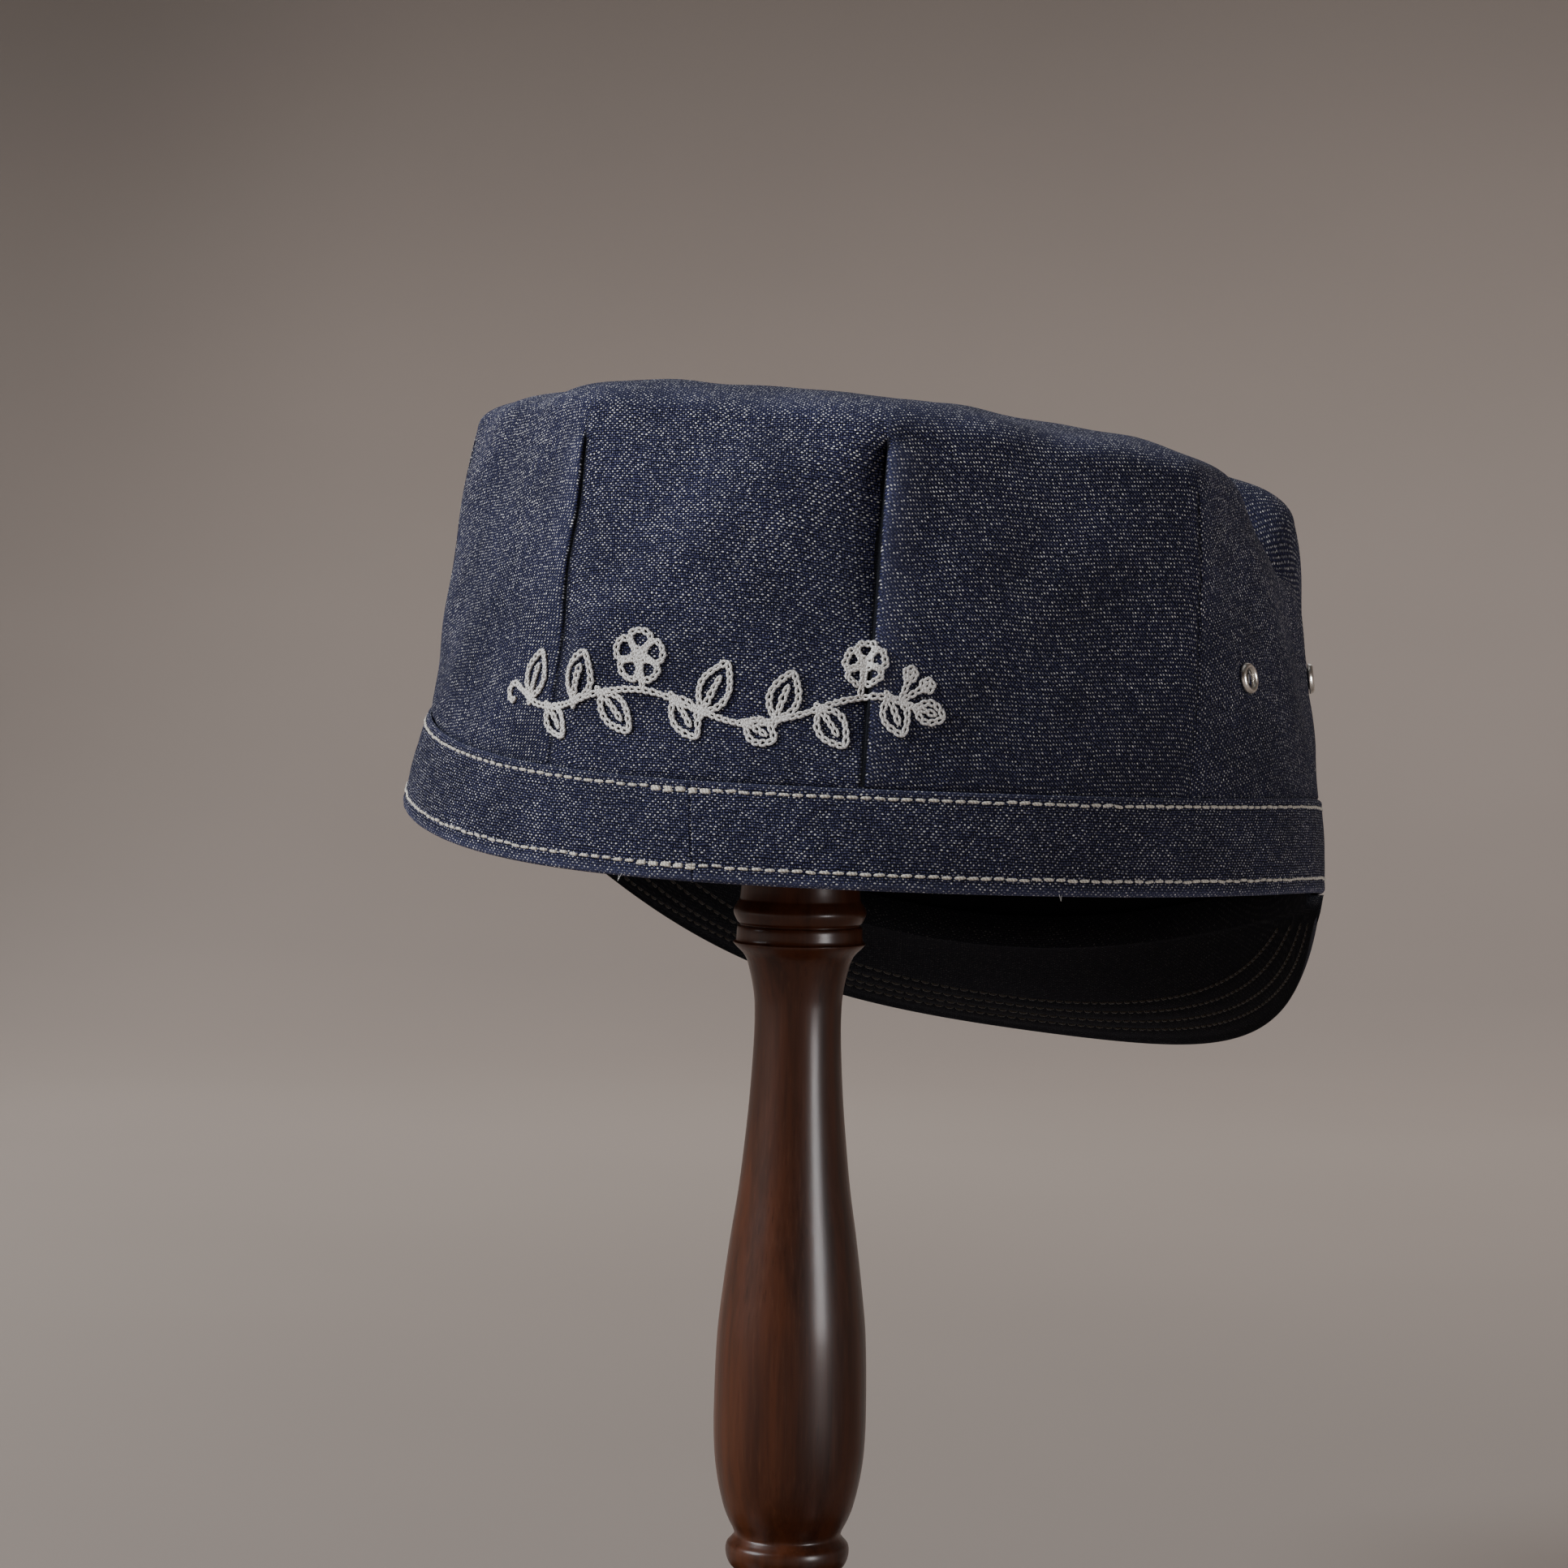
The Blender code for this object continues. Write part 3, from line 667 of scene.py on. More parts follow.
def band_section():
    """Rows of (depth, inset, share of the relief), from the lower hem up and back down inside."""
    hem = BAND_WALL / 2.0
    lip = OUTER_PLY / 2.0
    low = BAND_HEIGHT - hem
    rows = [(low + hem * math.sin(turn), hem + hem * math.cos(turn), max(0.0, -math.cos(turn)))
            for turn in (math.pi * step / ROLL_STEPS for step in range(ROLL_STEPS))]
    rows += [(low + (lip - low) * step / (FACE_STEPS - 1), 0.0, 1.0) for step in range(FACE_STEPS)]
    rows += [(lip - lip * math.sin(turn), lip - lip * math.cos(turn), max(0.0, math.cos(turn)))
             for turn in (math.pi * step / LIP_STEPS for step in range(1, LIP_STEPS + 1))]
    rows += [(depth * MM, inset * MM, 0.0) for depth, inset in PLIES_MEET]
    inner = [INNER_FACE_START + (low - INNER_FACE_START) * share for share in INNER_FACE_ROWS]
    rows += [(depth, BAND_WALL, 0.0) for depth in inner]
    return np.array(rows)


def band(finish):
    section = band_section()
    depth, inset = section[:, 0], section[:, 1]
    fine = seam_angle(BAND_HEIGHT / 2.0) + np.linspace(-SEAM_REACH, SEAM_REACH, SEAM_COLUMNS)
    angles = np.unique(np.concatenate([np.linspace(0.0, TURN, BAND_COLUMNS, endpoint=False), fine % TURN]))
    points = band_surface(angles[None, :], depth[:, None], 0.0, inset[:, None], section[:, 2:3])
    table_angles, lengths = arc_table(BAND_HEIGHT / 2.0)
    along = np.interp(angles, table_angles, lengths) / MM
    down = run(section[:, :2]) / MM
    rows, columns = points.shape[:2]
    uv = np.stack(np.broadcast_arrays(along[None, :], down[:, None]), axis=-1).reshape(-1, 2)
    faces = ring_faces(rows, columns, close_rows=True)
    corners = uv[faces]
    corners[columns - 1::columns, 1:3, 0] += lengths[-1] / MM
    wear = np.exp(-((depth - BAND_HEIGHT) / HEM_WORN) ** 2) * (inset < BAND_WALL * 0.8)
    wear = wear + LIP_WEAR * np.exp(-(depth / LIP_WORN) ** 2) * (inset < OUTER_PLY)
    # Painted shade: the inner ply turns to the denim's deep shade colour
    new_mesh("band_cloth", to_world(points.reshape(-1, 3)), faces.tolist(), finish, "denim", ("band",),
             corners.reshape(-1, 2), inside=np.repeat(np.where(inset > OUTER_PLY, 1.0, 0.0), columns),
             wear=np.repeat(wear, columns))


# Threads: each is a tube along its own row of points

STITCH_STEPS = 9
STITCH_RISE = 0.20 * MM
STITCH_SINK = 0.42 * MM
STITCH_WANDER = 0.07 * MM
STITCH_UNEVEN = 0.05
THREADS_APART = 3.7


def tubes(name, centres, normals, radii, finish, sides=8, slot="denim"):
    """Tubes along rows of points, with one normal and one radius for each point."""
    count, steps = centres.shape[:2]
    tangent = unit(np.gradient(centres, axis=1))
    across = unit(np.cross(tangent, np.broadcast_to(normals, centres.shape)))
    upward = np.cross(across, tangent)
    turns = (TURN * np.arange(sides) / sides)[:, None]
    ring = across[:, :, None, :] * np.cos(turns) + upward[:, :, None, :] * np.sin(turns)
    points = centres[:, :, None, :] + ring * np.broadcast_to(radii, (count, steps))[..., None, None]
    first = (np.arange(count) * steps * sides)[:, None, None]
    row = (np.arange(steps - 1) * sides)[None, :, None]
    side = np.arange(sides)[None, None, :]
    after = (side + 1) % sides
    faces = np.stack([first + row + side, first + row + after, first + row + sides + after,
                      first + row + sides + side], axis=-1).reshape(-1, 4)
    along = run(centres, axis=1) / MM + np.arange(count)[:, None] * THREADS_APART
    uv = np.stack(np.broadcast_arrays(along[..., None], side / sides), axis=-1).reshape(-1, 2)
    corners = uv[faces]
    corners[np.arange(len(faces)) % sides == sides - 1, 1:3, 1] = 1.0
    new_mesh(name, to_world(points.reshape(-1, 3)), faces.tolist(), finish, slot, (), corners.reshape(-1, 2))


def stitch_profile():
    """Along each stitch from -1 to 1, with its height over the cloth and its radius."""
    along = np.linspace(-1.0, 1.0, STITCH_STEPS)
    height = STITCH_RISE - (STITCH_RISE + STITCH_SINK) * np.abs(along) ** 4
    return along, height, STITCH_WIDTH / 2.0 * (1.0 - 0.45 * np.abs(along) ** 3)


def uneven_stitches(random, count):
    """Seeded numbers round 0, by which the stitches of a row differ."""
    return random.normal(scale=STITCH_UNEVEN, size=count)[:, None]


def band_stitches(name, angles, depth, finish, seed):
    random = np.random.default_rng(seed)
    along, height, radius = stitch_profile()
    count = len(angles)
    middle = depth + random.normal(scale=STITCH_WANDER, size=count)
    tilt = uneven_stitches(random, count)
    length = STITCH_LENGTH * (1.0 + uneven_stitches(random, count)) / 2.0
    outward = band_frame(angles, middle)[2][:, None, :]
    flat = np.linalg.norm(band_point(angles, middle, 0.0)[:, :2], axis=-1)[:, None]
    centres = band_surface(angles[:, None] + along * length / flat, middle[:, None] + along * length * tilt)
    radii = radius * (1.0 + uneven_stitches(random, count))
    tubes(name, centres + outward * height[None, :, None], outward, radii, finish)


SPECK_HALF_LENGTH = 0.15 * MM
SPECK_LIFT = 0.05 * MM
SPECK_RADIUS = 0.11 * MM


def seam_specks(finish):
    """Short bits of thread that show in the band's back seam."""
    depths = np.array(SEAM_SPECKS) * MM
    angles = seam_angle(depths)
    _, down, outward = band_frame(angles, depths)
    along = np.linspace(-SPECK_HALF_LENGTH, SPECK_HALF_LENGTH, 3)
    middle = band_surface(angles, depths, SPECK_LIFT)
    centres = middle[:, None, :] + down[:, None, :] * along[None, :, None]
    tubes("seam_thread", centres, outward[:, None, :], SPECK_RADIUS, finish, sides=6)


TACK_ENDS = (-3.8, 3.4)
TACK_ASIDE = 0.42 * MM
TACK_SEED = 21


def back_tacks(finish):
    """Where each row ends and starts again, its stitches lie double for a short way."""
    start, end = map(math.radians, TACK_ENDS)
    for index, (name, depth, stitches) in enumerate(STITCH_ROWS):
        angles = np.arange(start, end, stitches[1] - stitches[0])
        band_stitches(f"tack_{name}", angles % TURN, depth + TACK_ASIDE, finish, TACK_SEED + index)


# Stitched vine on the back of the crown: a stem, leaves, a tendril, blossoms and berries.
# Places are in mm: along the back from its middle, and up from the band

LINK_LENGTH = 1.50
LINK_WIDTH = 0.45
LINK_STEPS = 7
LINK_OVERLAP = 0.30
LINK_THREAD = 0.27 * MM
LINK_LIFT = (0.24 * MM, 0.12 * MM)
LINK_UNEVEN = 0.12
LINK_FULLEST = 0.75
VINE_SEED = 5
CURVE_STEPS = 24
TENDRIL_CLOSING = 0.62
TENDRIL_TURN = 1.55
TENDRIL_POINTS = 10
RING_SIDES = 12
PETALS = 5
PETAL_WIDTH = 0.92
BLOSSOM_EYE = 0.16
VINE_STEM = ((-46.0, 13.5), (-39.0, 10.8), (-30.0, 11.6), (-20.0, 15.0), (-10.0, 15.8), (0.0, 13.0),
             (10.0, 10.8), (20.0, 12.6), (30.0, 16.0), (38.0, 16.8), (44.0, 15.0))
VINE_LEAVES = (
    ((-42.0, 11.8), 76.0, 10.0, 5.6), ((-36.0, 10.7), -48.0, 7.4, 4.6), ((-27.5, 12.4), 72.0, 10.5, 5.8),
    ((-21.0, 14.6), -46.0, 9.6, 5.2), ((-5.0, 14.9), -52.0, 9.4, 5.2), ((1.5, 12.5), 66.0, 11.0, 6.0),
    ((10.5, 10.9), -26.0, 7.0, 4.4), ((16.5, 11.7), 74.0, 10.0, 5.6), ((25.0, 14.2), -50.0, 9.2, 5.2),
    ((38.5, 16.8), -64.0, 8.0, 4.6), ((44.0, 15.0), -16.0, 6.0, 3.8),
)
VINE_TENDRIL = ((-46.0, 13.5), 130.0, 2.6)
VINE_BLOSSOMS = (((-12.5, 22.4), 5.0, (-11.5, 15.8)), ((33.5, 23.0), 4.2, (33.0, 16.6)))
VINE_BERRIES = ((42.5, 21.4), (46.0, 19.4))
BERRY_RADIUS = 1.15
BERRY_FOOT = (41.0, 16.2)
# Outlines as shares of the length along and of the width out
LEAF_EDGE = ((0.0, 0.0), (0.22, 0.40), (0.50, 0.52), (0.78, 0.30), (1.0, 0.0))
LEAF_VEIN = ((-0.1, 0.0), (0.35, 0.03), (0.72, 0.0))
PETAL = ((0.22, 0.0), (0.40, 0.36), (0.74, 0.50), (1.0, 0.24), (0.94, 0.0),
         (1.0, -0.24), (0.74, -0.50), (0.40, -0.36), (0.22, 0.0))


def flowing(points, spacing):
    """Points at even spacing along a smooth curve through a few points."""
    points = np.array(points, dtype=float)
    padded = np.concatenate([[2 * points[0] - points[1]], points, [2 * points[-1] - points[-2]]])
    share = np.linspace(0.0, 1.0, CURVE_STEPS, endpoint=False)[:, None]
    parts = [0.5 * (2 * b + (c - a) * share + (2 * a - 5 * b + 4 * c - d) * share ** 2
                    + (3 * b - a - 3 * c + d) * share ** 3)
             for a, b, c, d in zip(padded, padded[1:], padded[2:], padded[3:])]
    curve = np.concatenate(parts + [points[-1:]])
    lengths = run(curve)
    even = np.linspace(0.0, lengths[-1], max(2, round(lengths[-1] / spacing) + 1))
    return np.stack([np.interp(even, lengths, curve[:, axis]) for axis in (0, 1)], axis=-1)


def polar(centre, radius, turn):
    """The point at a radius and a turn from a centre."""
    return centre[0] + radius * math.cos(turn), centre[1] + radius * math.sin(turn)


def placed(base, way, length, width, outline):
    """An outline's rows (along, out) from a base along a way in degrees."""
    turn = math.radians(way)
    return [polar(polar(base, length * along, turn), width * out, turn + math.pi / 2.0)
            for along, out in outline]


def leaf(base, way, length, width):
    """A pointed leaf: its two edges and the vein between them."""
    other = [(along, -out) for along, out in LEAF_EDGE]
    return [placed(base, way, length, width, outline) for outline in (LEAF_EDGE, other, LEAF_VEIN)]


def tendril(base, way, size):
    """A curl that starts along a way in degrees and winds inwards."""
    start = math.radians(way) + math.pi / 2.0
    shares = np.linspace(0.0, 1.0, TENDRIL_POINTS)
    centre = polar(base, size, start)
    reaches = size * (1.0 - TENDRIL_CLOSING * shares)
    turns = start + (TENDRIL_TURN * shares - 1.0) * math.pi
    return [polar(centre, reach, turn) for reach, turn in zip(reaches, turns)]


def ring(centre, radius):
    return [polar(centre, radius, TURN * step / RING_SIDES) for step in range(RING_SIDES + 1)]


def blossom(centre, radius, foot):
    """Rounded petals round a small ring, on a stalk from its foot on the stem."""
    lines = [placed(centre, 90.0 + 360.0 / PETALS * step, radius, radius * PETAL_WIDTH, PETAL)
             for step in range(PETALS)]
    return lines + [ring(centre, radius * BLOSSOM_EYE), (centre, foot)]


def vine_lines():
    lines = [VINE_STEM]
    for row in VINE_LEAVES:
        lines += leaf(*row)
    lines.append(tendril(*VINE_TENDRIL))
    for row in VINE_BLOSSOMS:
        lines += blossom(*row)
    for centre in VINE_BERRIES:
        lines += [ring(centre, BERRY_RADIUS), (centre, BERRY_FOOT)]
    return lines


def vine(finish):
    """Chain stitches: each link is an eye of two strands, and the next starts inside it."""
    lines = [flowing(line, LINK_LENGTH) for line in vine_lines()]
    start = np.concatenate([line[:-1] for line in lines])
    end = np.concatenate([line[1:] for line in lines])
    start = start - (end - start) * LINK_OVERLAP
    way = end - start
    across = unit(np.stack([-way[:, 1], way[:, 0]], axis=-1))
    share = np.linspace(0.0, 1.0, LINK_STEPS)
    random = np.random.default_rng(VINE_SEED)
    width = LINK_WIDTH * (1.0 + random.normal(scale=LINK_UNEVEN, size=len(start)))
    out = width[:, None] * np.sin(math.pi * share ** LINK_FULLEST)
    places = np.concatenate([start[:, None, :] + way[:, None, :] * share[None, :, None]
                             + across[:, None, :] * (hand * out)[..., None] for hand in (1.0, -1.0)])
    angle = np.radians(places[..., 0] / MM_PER_DEGREE)
    lift = LINK_LIFT[0] + LINK_LIFT[1] * np.sin(math.pi * share)
    centres = cloth_point(angle, places[..., 1] * MM / side_length(angle), lift)
    tubes("stitched_vine", centres, outward_way(angle), LINK_THREAD, finish, sides=7)


# Loose ends of thread at the band's lower edge: angle, inset, size in mm and the side it curls to

LOOSE_ENDS = ((353.4, 0.24, 2.6, 1), (44.7, -0.15, 2.2, -1), (205.0, 0.0, 1.4, -1), (290.0, 0.0, 1.8, 1))
LOOSE_ROOT = BAND_HEIGHT - 0.5 * MM
LOOSE_THREAD = 0.05 * MM
LOOSE_STEPS = 14
LOOSE_TURN = 1.35 * math.pi
# How far an end runs along the band, down and out, as shares of its size
LOOSE_ALONG = 0.30 / math.pi
LOOSE_DOWN = 0.62
LOOSE_DOWN_TURN = 0.72
LOOSE_OUT = 0.175


def loose_ends(finish):
    rows = []
    turn = np.linspace(0.0, LOOSE_TURN, LOOSE_STEPS)[:, None]
    for degrees, inset, size, hand in LOOSE_ENDS:
        angle = np.array(math.radians(degrees))
        along, down, outward = band_frame(angle, np.array(BAND_HEIGHT))
        curl = along * hand * LOOSE_ALONG * turn + down * LOOSE_DOWN * np.sin(turn * LOOSE_DOWN_TURN)
        curl = curl + outward * LOOSE_OUT * (1.0 - np.cos(turn))
        rows.append(band_point(angle, LOOSE_ROOT, BAND_EDGE + inset * MM) + curl * size * MM)
    tubes("loose_threads", np.stack(rows), np.array([0.03, 0.02, 1.0]), LOOSE_THREAD, finish, sides=6)


# Lint: short curved fibres that lie on the cloth

LINT_COUNT = 90
LINT_SEED = 17
LINT_RADIUS = 0.035 * MM
LINT_STEPS = 9
# Ranges of place round the cap, share of its height, half length in mm, way, and bend
LINT_RANGES = ((0.0, TURN), (0.08, 0.86), (0.45, 1.0), (0.0, TURN), (0.8, 4.2))
# Lift of a fibre's ends, and how far it arches as a share of its size
LINT_LIFT = 0.06 * MM
LINT_ARCH = 0.25


def lint(finish):
    random = np.random.default_rng(LINT_SEED)
    angle, share, size, way, bend = (random.uniform(*ends, LINT_COUNT) for ends in LINT_RANGES)
    bend = bend * random.choice([-1.0, 1.0], LINT_COUNT)
    size = size * MM
    along = np.linspace(-1.0, 1.0, LINT_STEPS)[None, :]
    turn = way[:, None] + bend[:, None] * along / 2.0
    right, up = (np.cumsum(part, axis=1) * size[:, None] / LINT_STEPS * 2.0
                 for part in (np.cos(turn), np.sin(turn)))
    places = angle[:, None] + right / BAND_UPPER_HALF_LENGTH
    lift = LINT_LIFT + LINT_ARCH * size[:, None] * (1.0 - along ** 2)
    centres = cloth_point(places, share[:, None] + up / SHOULDER_HEIGHT, lift)
    tubes("lint", centres, outward_way(places), LINT_RADIUS, finish, sides=5)


# Peak

PEAK_LENGTH = 42.0 * MM
PEAK_DROP = 15.4 * MM
PEAK_ROOT_DROP = 4.6 * MM
PEAK_ARCH = 21.6 * MM
PEAK_SIDE_LIFT = 14.5 * MM
PEAK_HALF_WIDTH = 92.2 * MM
PEAK_OUTLINE_BACK = 15.5 * MM
PEAK_WALL = 3.0 * MM
PEAK_HALF_ANGLE = 70.0
PEAK_OUTLINE_HALF_TURN = 70.5
PEAK_END_TAPER = 0.4
PEAK_TAPER_POWER = 8
PEAK_HOLLOW = 0.5
PEAK_STITCH_ROWS = (9.0 * MM, 14.4 * MM, 19.8 * MM, 24.6 * MM)
PEAK_STITCH_END = 2.4 * MM
PEAK_SECTIONS = 300
PEAK_LINE_POINTS = 2001
PEAK_FACE_ROWS = 56
PEAK_RIM_STEPS = 7
PEAK_FACE_END = 0.97
PEAK_TUCK = 4.0 * MM
PEAK_TUCK_WALL = 1.2 * MM
PEAK_SHADED = 0.85
PEAK_RIM_WEAR = 0.55
PEAK_MEETS = 0.55 * MM
PEAK_MEETS_REACH = 1.6 * MM
PEAK_SEED = 11
QUILT_DEPTH = 0.22 * MM
QUILT_HALF_WIDTH = 0.75 * MM
HUMP_HEIGHT = 0.10 * MM
HUMP_LENGTH = 5.3 * MM


def peak_height(x, y):
    forward = (-y - BAND_LOWER_HALF_LENGTH) / PEAK_LENGTH
    across = x / PEAK_HALF_WIDTH
    front = wave(np.array(math.pi)) - BAND_HEIGHT - CLEARANCE - PEAK_ROOT_DROP
    return front - PEAK_DROP * forward - PEAK_ARCH * across ** 2 + PEAK_SIDE_LIFT * across ** 4


def peak_parts(share):
    """Hem, outer edge, way under and sink of the peak's section at each share."""
    turn = share * math.radians(PEAK_OUTLINE_HALF_TURN)
    reach = PEAK_OUTLINE_BACK + BAND_LOWER_HALF_LENGTH + PEAK_LENGTH
    x = PEAK_HALF_WIDTH * np.sin(turn)
    y = PEAK_OUTLINE_BACK - reach * np.cos(turn)
    hem = band_point(math.pi + share * math.radians(PEAK_HALF_ANGLE), BAND_HEIGHT, 0.0) - UP * CLEARANCE
    taper = 1.0 - PEAK_END_TAPER * np.abs(share) ** PEAK_TAPER_POWER
    edge = hem + (np.stack([x, y, peak_height(x, y)], axis=-1) - hem) * taper[..., None]
    step = hem[..., 2] - peak_height(hem[..., 0], hem[..., 1])
    under = unit(-unit(hem * LEVEL) * PEAK_DROP - UP * PEAK_LENGTH)
    return hem, edge, under, -PEAK_HOLLOW * np.minimum(PEAK_ROOT_DROP, step)


def peak_point(share, row, lower, lift):
    """Points of the peak's upper or lower face, row running from the hem to the edge."""
    share, row = np.broadcast_arrays(share, row)
    hem, edge, under, sink = peak_parts(share)
    point = hem + (edge - hem) * row[..., None]
    point[..., 2] += sink * np.sin(math.pi * row) ** 2
    away = (1.0 - row) * np.linalg.norm(edge - hem, axis=-1)
    quilt = sum(np.exp(-((away - line) / QUILT_HALF_WIDTH) ** 2) for line in PEAK_STITCH_ROWS)
    hump = HUMP_HEIGHT * np.cos(TURN * (away - PEAK_STITCH_ROWS[0]) / HUMP_LENGTH)
    height = lift - QUILT_DEPTH * quilt - hump * (away < PEAK_STITCH_ROWS[-1])
    if lower:
        return point + under * (PEAK_WALL + height)[..., None]
    return point - under * height[..., None]


def peak(finish):
    shares = np.linspace(-1.0, 1.0, PEAK_SECTIONS + 1)
    hem, edge, under, _ = peak_parts(shares)
    width = np.linalg.norm(edge - hem, axis=-1)
    face_rows = np.linspace(0.0, PEAK_FACE_END, PEAK_FACE_ROWS)
    angle = math.pi + shares * math.radians(PEAK_HALF_ANGLE)
    tuck = BAND_WALL + CLEARANCE
    rows = [band_point(angle, depth, tuck) for depth in (BAND_HEIGHT - PEAK_TUCK, BAND_HEIGHT + CLEARANCE)]
    rows += [peak_point(shares, row, False, PEAK_MEETS * np.exp(-row * width / PEAK_MEETS_REACH))
             for row in face_rows]
    upper, lower = (peak_point(shares, PEAK_FACE_END, side, 0.0) for side in (False, True))
    out = edge - (hem + (edge - hem) * PEAK_FACE_END)
    rows += [upper + (lower - upper) * (1.0 - math.cos(turn)) / 2.0 + out * math.sin(turn)
             for turn in (math.pi * step / PEAK_RIM_STEPS for step in range(1, PEAK_RIM_STEPS))]
    rows += [peak_point(shares, row, True, 0.0) for row in face_rows[::-1]]
    rows.append(band_point(angle, BAND_HEIGHT, BAND_WALL) - UP * CLEARANCE + under * PEAK_WALL)
    rows.append(band_point(angle, BAND_HEIGHT - PEAK_TUCK, tuck + PEAK_TUCK_WALL))
    points = np.stack(rows, axis=1)
    count = points.shape[1]
    faces = ring_faces(len(shares), count).tolist()
    faces.append(list(range(count))[::-1])
    faces.append([(len(shares) - 1) * count + index for index in range(count)])
    around = run(points)
    uv = np.stack([around - around[len(shares) // 2], run(points, axis=1)], axis=-1).reshape(-1, 2) / MM
    # Painted shade: the underside half of the peak's ring turns mostly to the deep shade colour
    inside = np.zeros((len(shares), count))
    inside[:, count // 2:] = PEAK_SHADED
    wear = np.zeros((len(shares), count))
    rim = 2 + PEAK_FACE_ROWS
    wear[:, rim - 1:rim + PEAK_RIM_STEPS] = PEAK_RIM_WEAR
    new_mesh("peak_cloth", to_world(points.reshape(-1, 3)), faces, finish, "under_denim", ("peak",),
             uv[np.concatenate(faces)], inside=inside.ravel(), wear=wear.ravel())


def peak_stitches(finish, shaded):
    along, height, radius = stitch_profile()
    shares = np.linspace(-1.0, 1.0, PEAK_LINE_POINTS)
    hem, edge, _, _ = peak_parts(shares)
    width = np.linalg.norm(edge - hem, axis=-1)
    random = np.random.default_rng(PEAK_SEED)
    for index, away in enumerate(PEAK_STITCH_ROWS):
        wide = shares[width > away + PEAK_STITCH_END]
        reach = width[width > away + PEAK_STITCH_END]
        lengths = run(peak_point(wide, 1.0 - away / reach, False, 0.0))
        count = int(lengths[-1] / STITCH_PITCH)
        size = STITCH_LENGTH * (1.0 + uneven_stitches(random, count)) / 2.0
        share = np.interp(middles(lengths[-1], count)[:, None] + along * size, lengths, wide)
        row = 1.0 - away / np.interp(share, wide, reach)
        for face, lower, cotton in (("upper", False, finish), ("under", True, shaded)):
            centres = peak_point(share, row, lower, height)
            normals = peak_parts(share)[2] * (1.0 if lower else -1.0)
            tubes(f"peak_row_{face}_{index + 1}", centres, normals, radius, cotton, 6, "under_denim")


# Eyelets: place, angle and share up the side; then the metal's rows of radius and height in mm

EYELETS = (("back", 74.5, 0.345), ("front", 110.5, 0.395))
EYELET_SIDES = 48
EYELET_PROFILE = (
    (1.75, -2.30), (1.75, -0.60), (1.78, 0.20), (1.84, 0.58), (1.96, 0.88), (2.14, 1.10), (2.36, 1.22),
    (2.58, 1.22), (2.80, 1.10), (2.98, 0.88), (3.10, 0.60), (3.15, 0.38), (3.12, 0.24), (3.02, 0.16),
    (2.60, 0.14), (2.10, 0.14), (2.05, -1.80), (2.90, -1.82), (2.90, -2.28),
)
HOLE_OPEN = 2.15 * MM
HOLE_REACH = 3.3 * MM
HOLE_CLOSE = 1.55 * MM
PRESSED_REACH = 6.5 * MM
NEAR_FACE = 6.0 * MM


def eyelet_frames():
    """Name, middle, and ways across, up and out of each eyelet, in the cap's own frame."""
    step = 0.01
    frames = []
    for place, degrees, share in EYELETS:
        for side, sign in (("right", 1.0), ("left", -1.0)):
            angle = np.array(sign * math.radians(degrees))
            here = np.array(share)
            along = crown_side(angle + step, here) - crown_side(angle - step, here)
            up = unit(crown_side(angle, here + step) - crown_side(angle, here - step))
            out = unit(np.cross(along, up))
            frames.append((f"eyelet_{side}_{place}", crown_side(angle, here), np.cross(up, out), up, out))
    return frames


def eyelets(finish):
    rim = round_rows(EYELET_PROFILE, EYELET_SIDES) * MM
    faces = ring_faces(len(EYELET_PROFILE), EYELET_SIDES, close_rows=True).tolist()
    for name, middle, *ways in eyelet_frames():
        new_mesh(f"{name}_metal", to_world(middle + rim @ np.array(ways)), faces, finish, "nickel", (name,))


def off_axis(points, middle, outward):
    """How far out of an eyelet's middle points are, their ways off its axis, and how far off."""
    offset = points - middle
    out = offset @ outward
    flat = offset - out[:, None] * outward
    return out, flat, np.linalg.norm(flat, axis=-1)


def open_holes(points):
    """The cloth's points, pressed flat round each eyelet and moved outwards from its hole."""
    for _, middle, _, _, outward in eyelet_frames():
        out, flat, radius = off_axis(points, middle, outward)
        near = (radius < PRESSED_REACH) & (np.abs(out) < NEAR_FACE)
        level = np.where(out > -CROWN_WALL / 2.0, 0.0, -CROWN_WALL)
        pressed = level + (out - level) * smooth((radius - HOLE_REACH) / (PRESSED_REACH - HOLE_REACH))
        wanted = np.maximum(HOLE_OPEN + radius * (HOLE_REACH - HOLE_OPEN) / HOLE_REACH, radius)
        moved = middle + flat * (wanted / np.maximum(radius, 1e-6))[:, None] + pressed[:, None] * outward
        points = np.where(near[:, None], moved, points)
    return points


def over_hole(points, faces):
    """Which faces would close an eyelet's hole."""
    closing = np.zeros(len(faces), dtype=bool)
    for _, middle, _, _, outward in eyelet_frames():
        out, _, radius = off_axis(points[faces].mean(axis=1), middle, outward)
        closing |= (radius < HOLE_CLOSE) & (np.abs(out) < NEAR_FACE)
    return closing


# Stand: sizes in mm, and profiles as shares of the height and of the radius

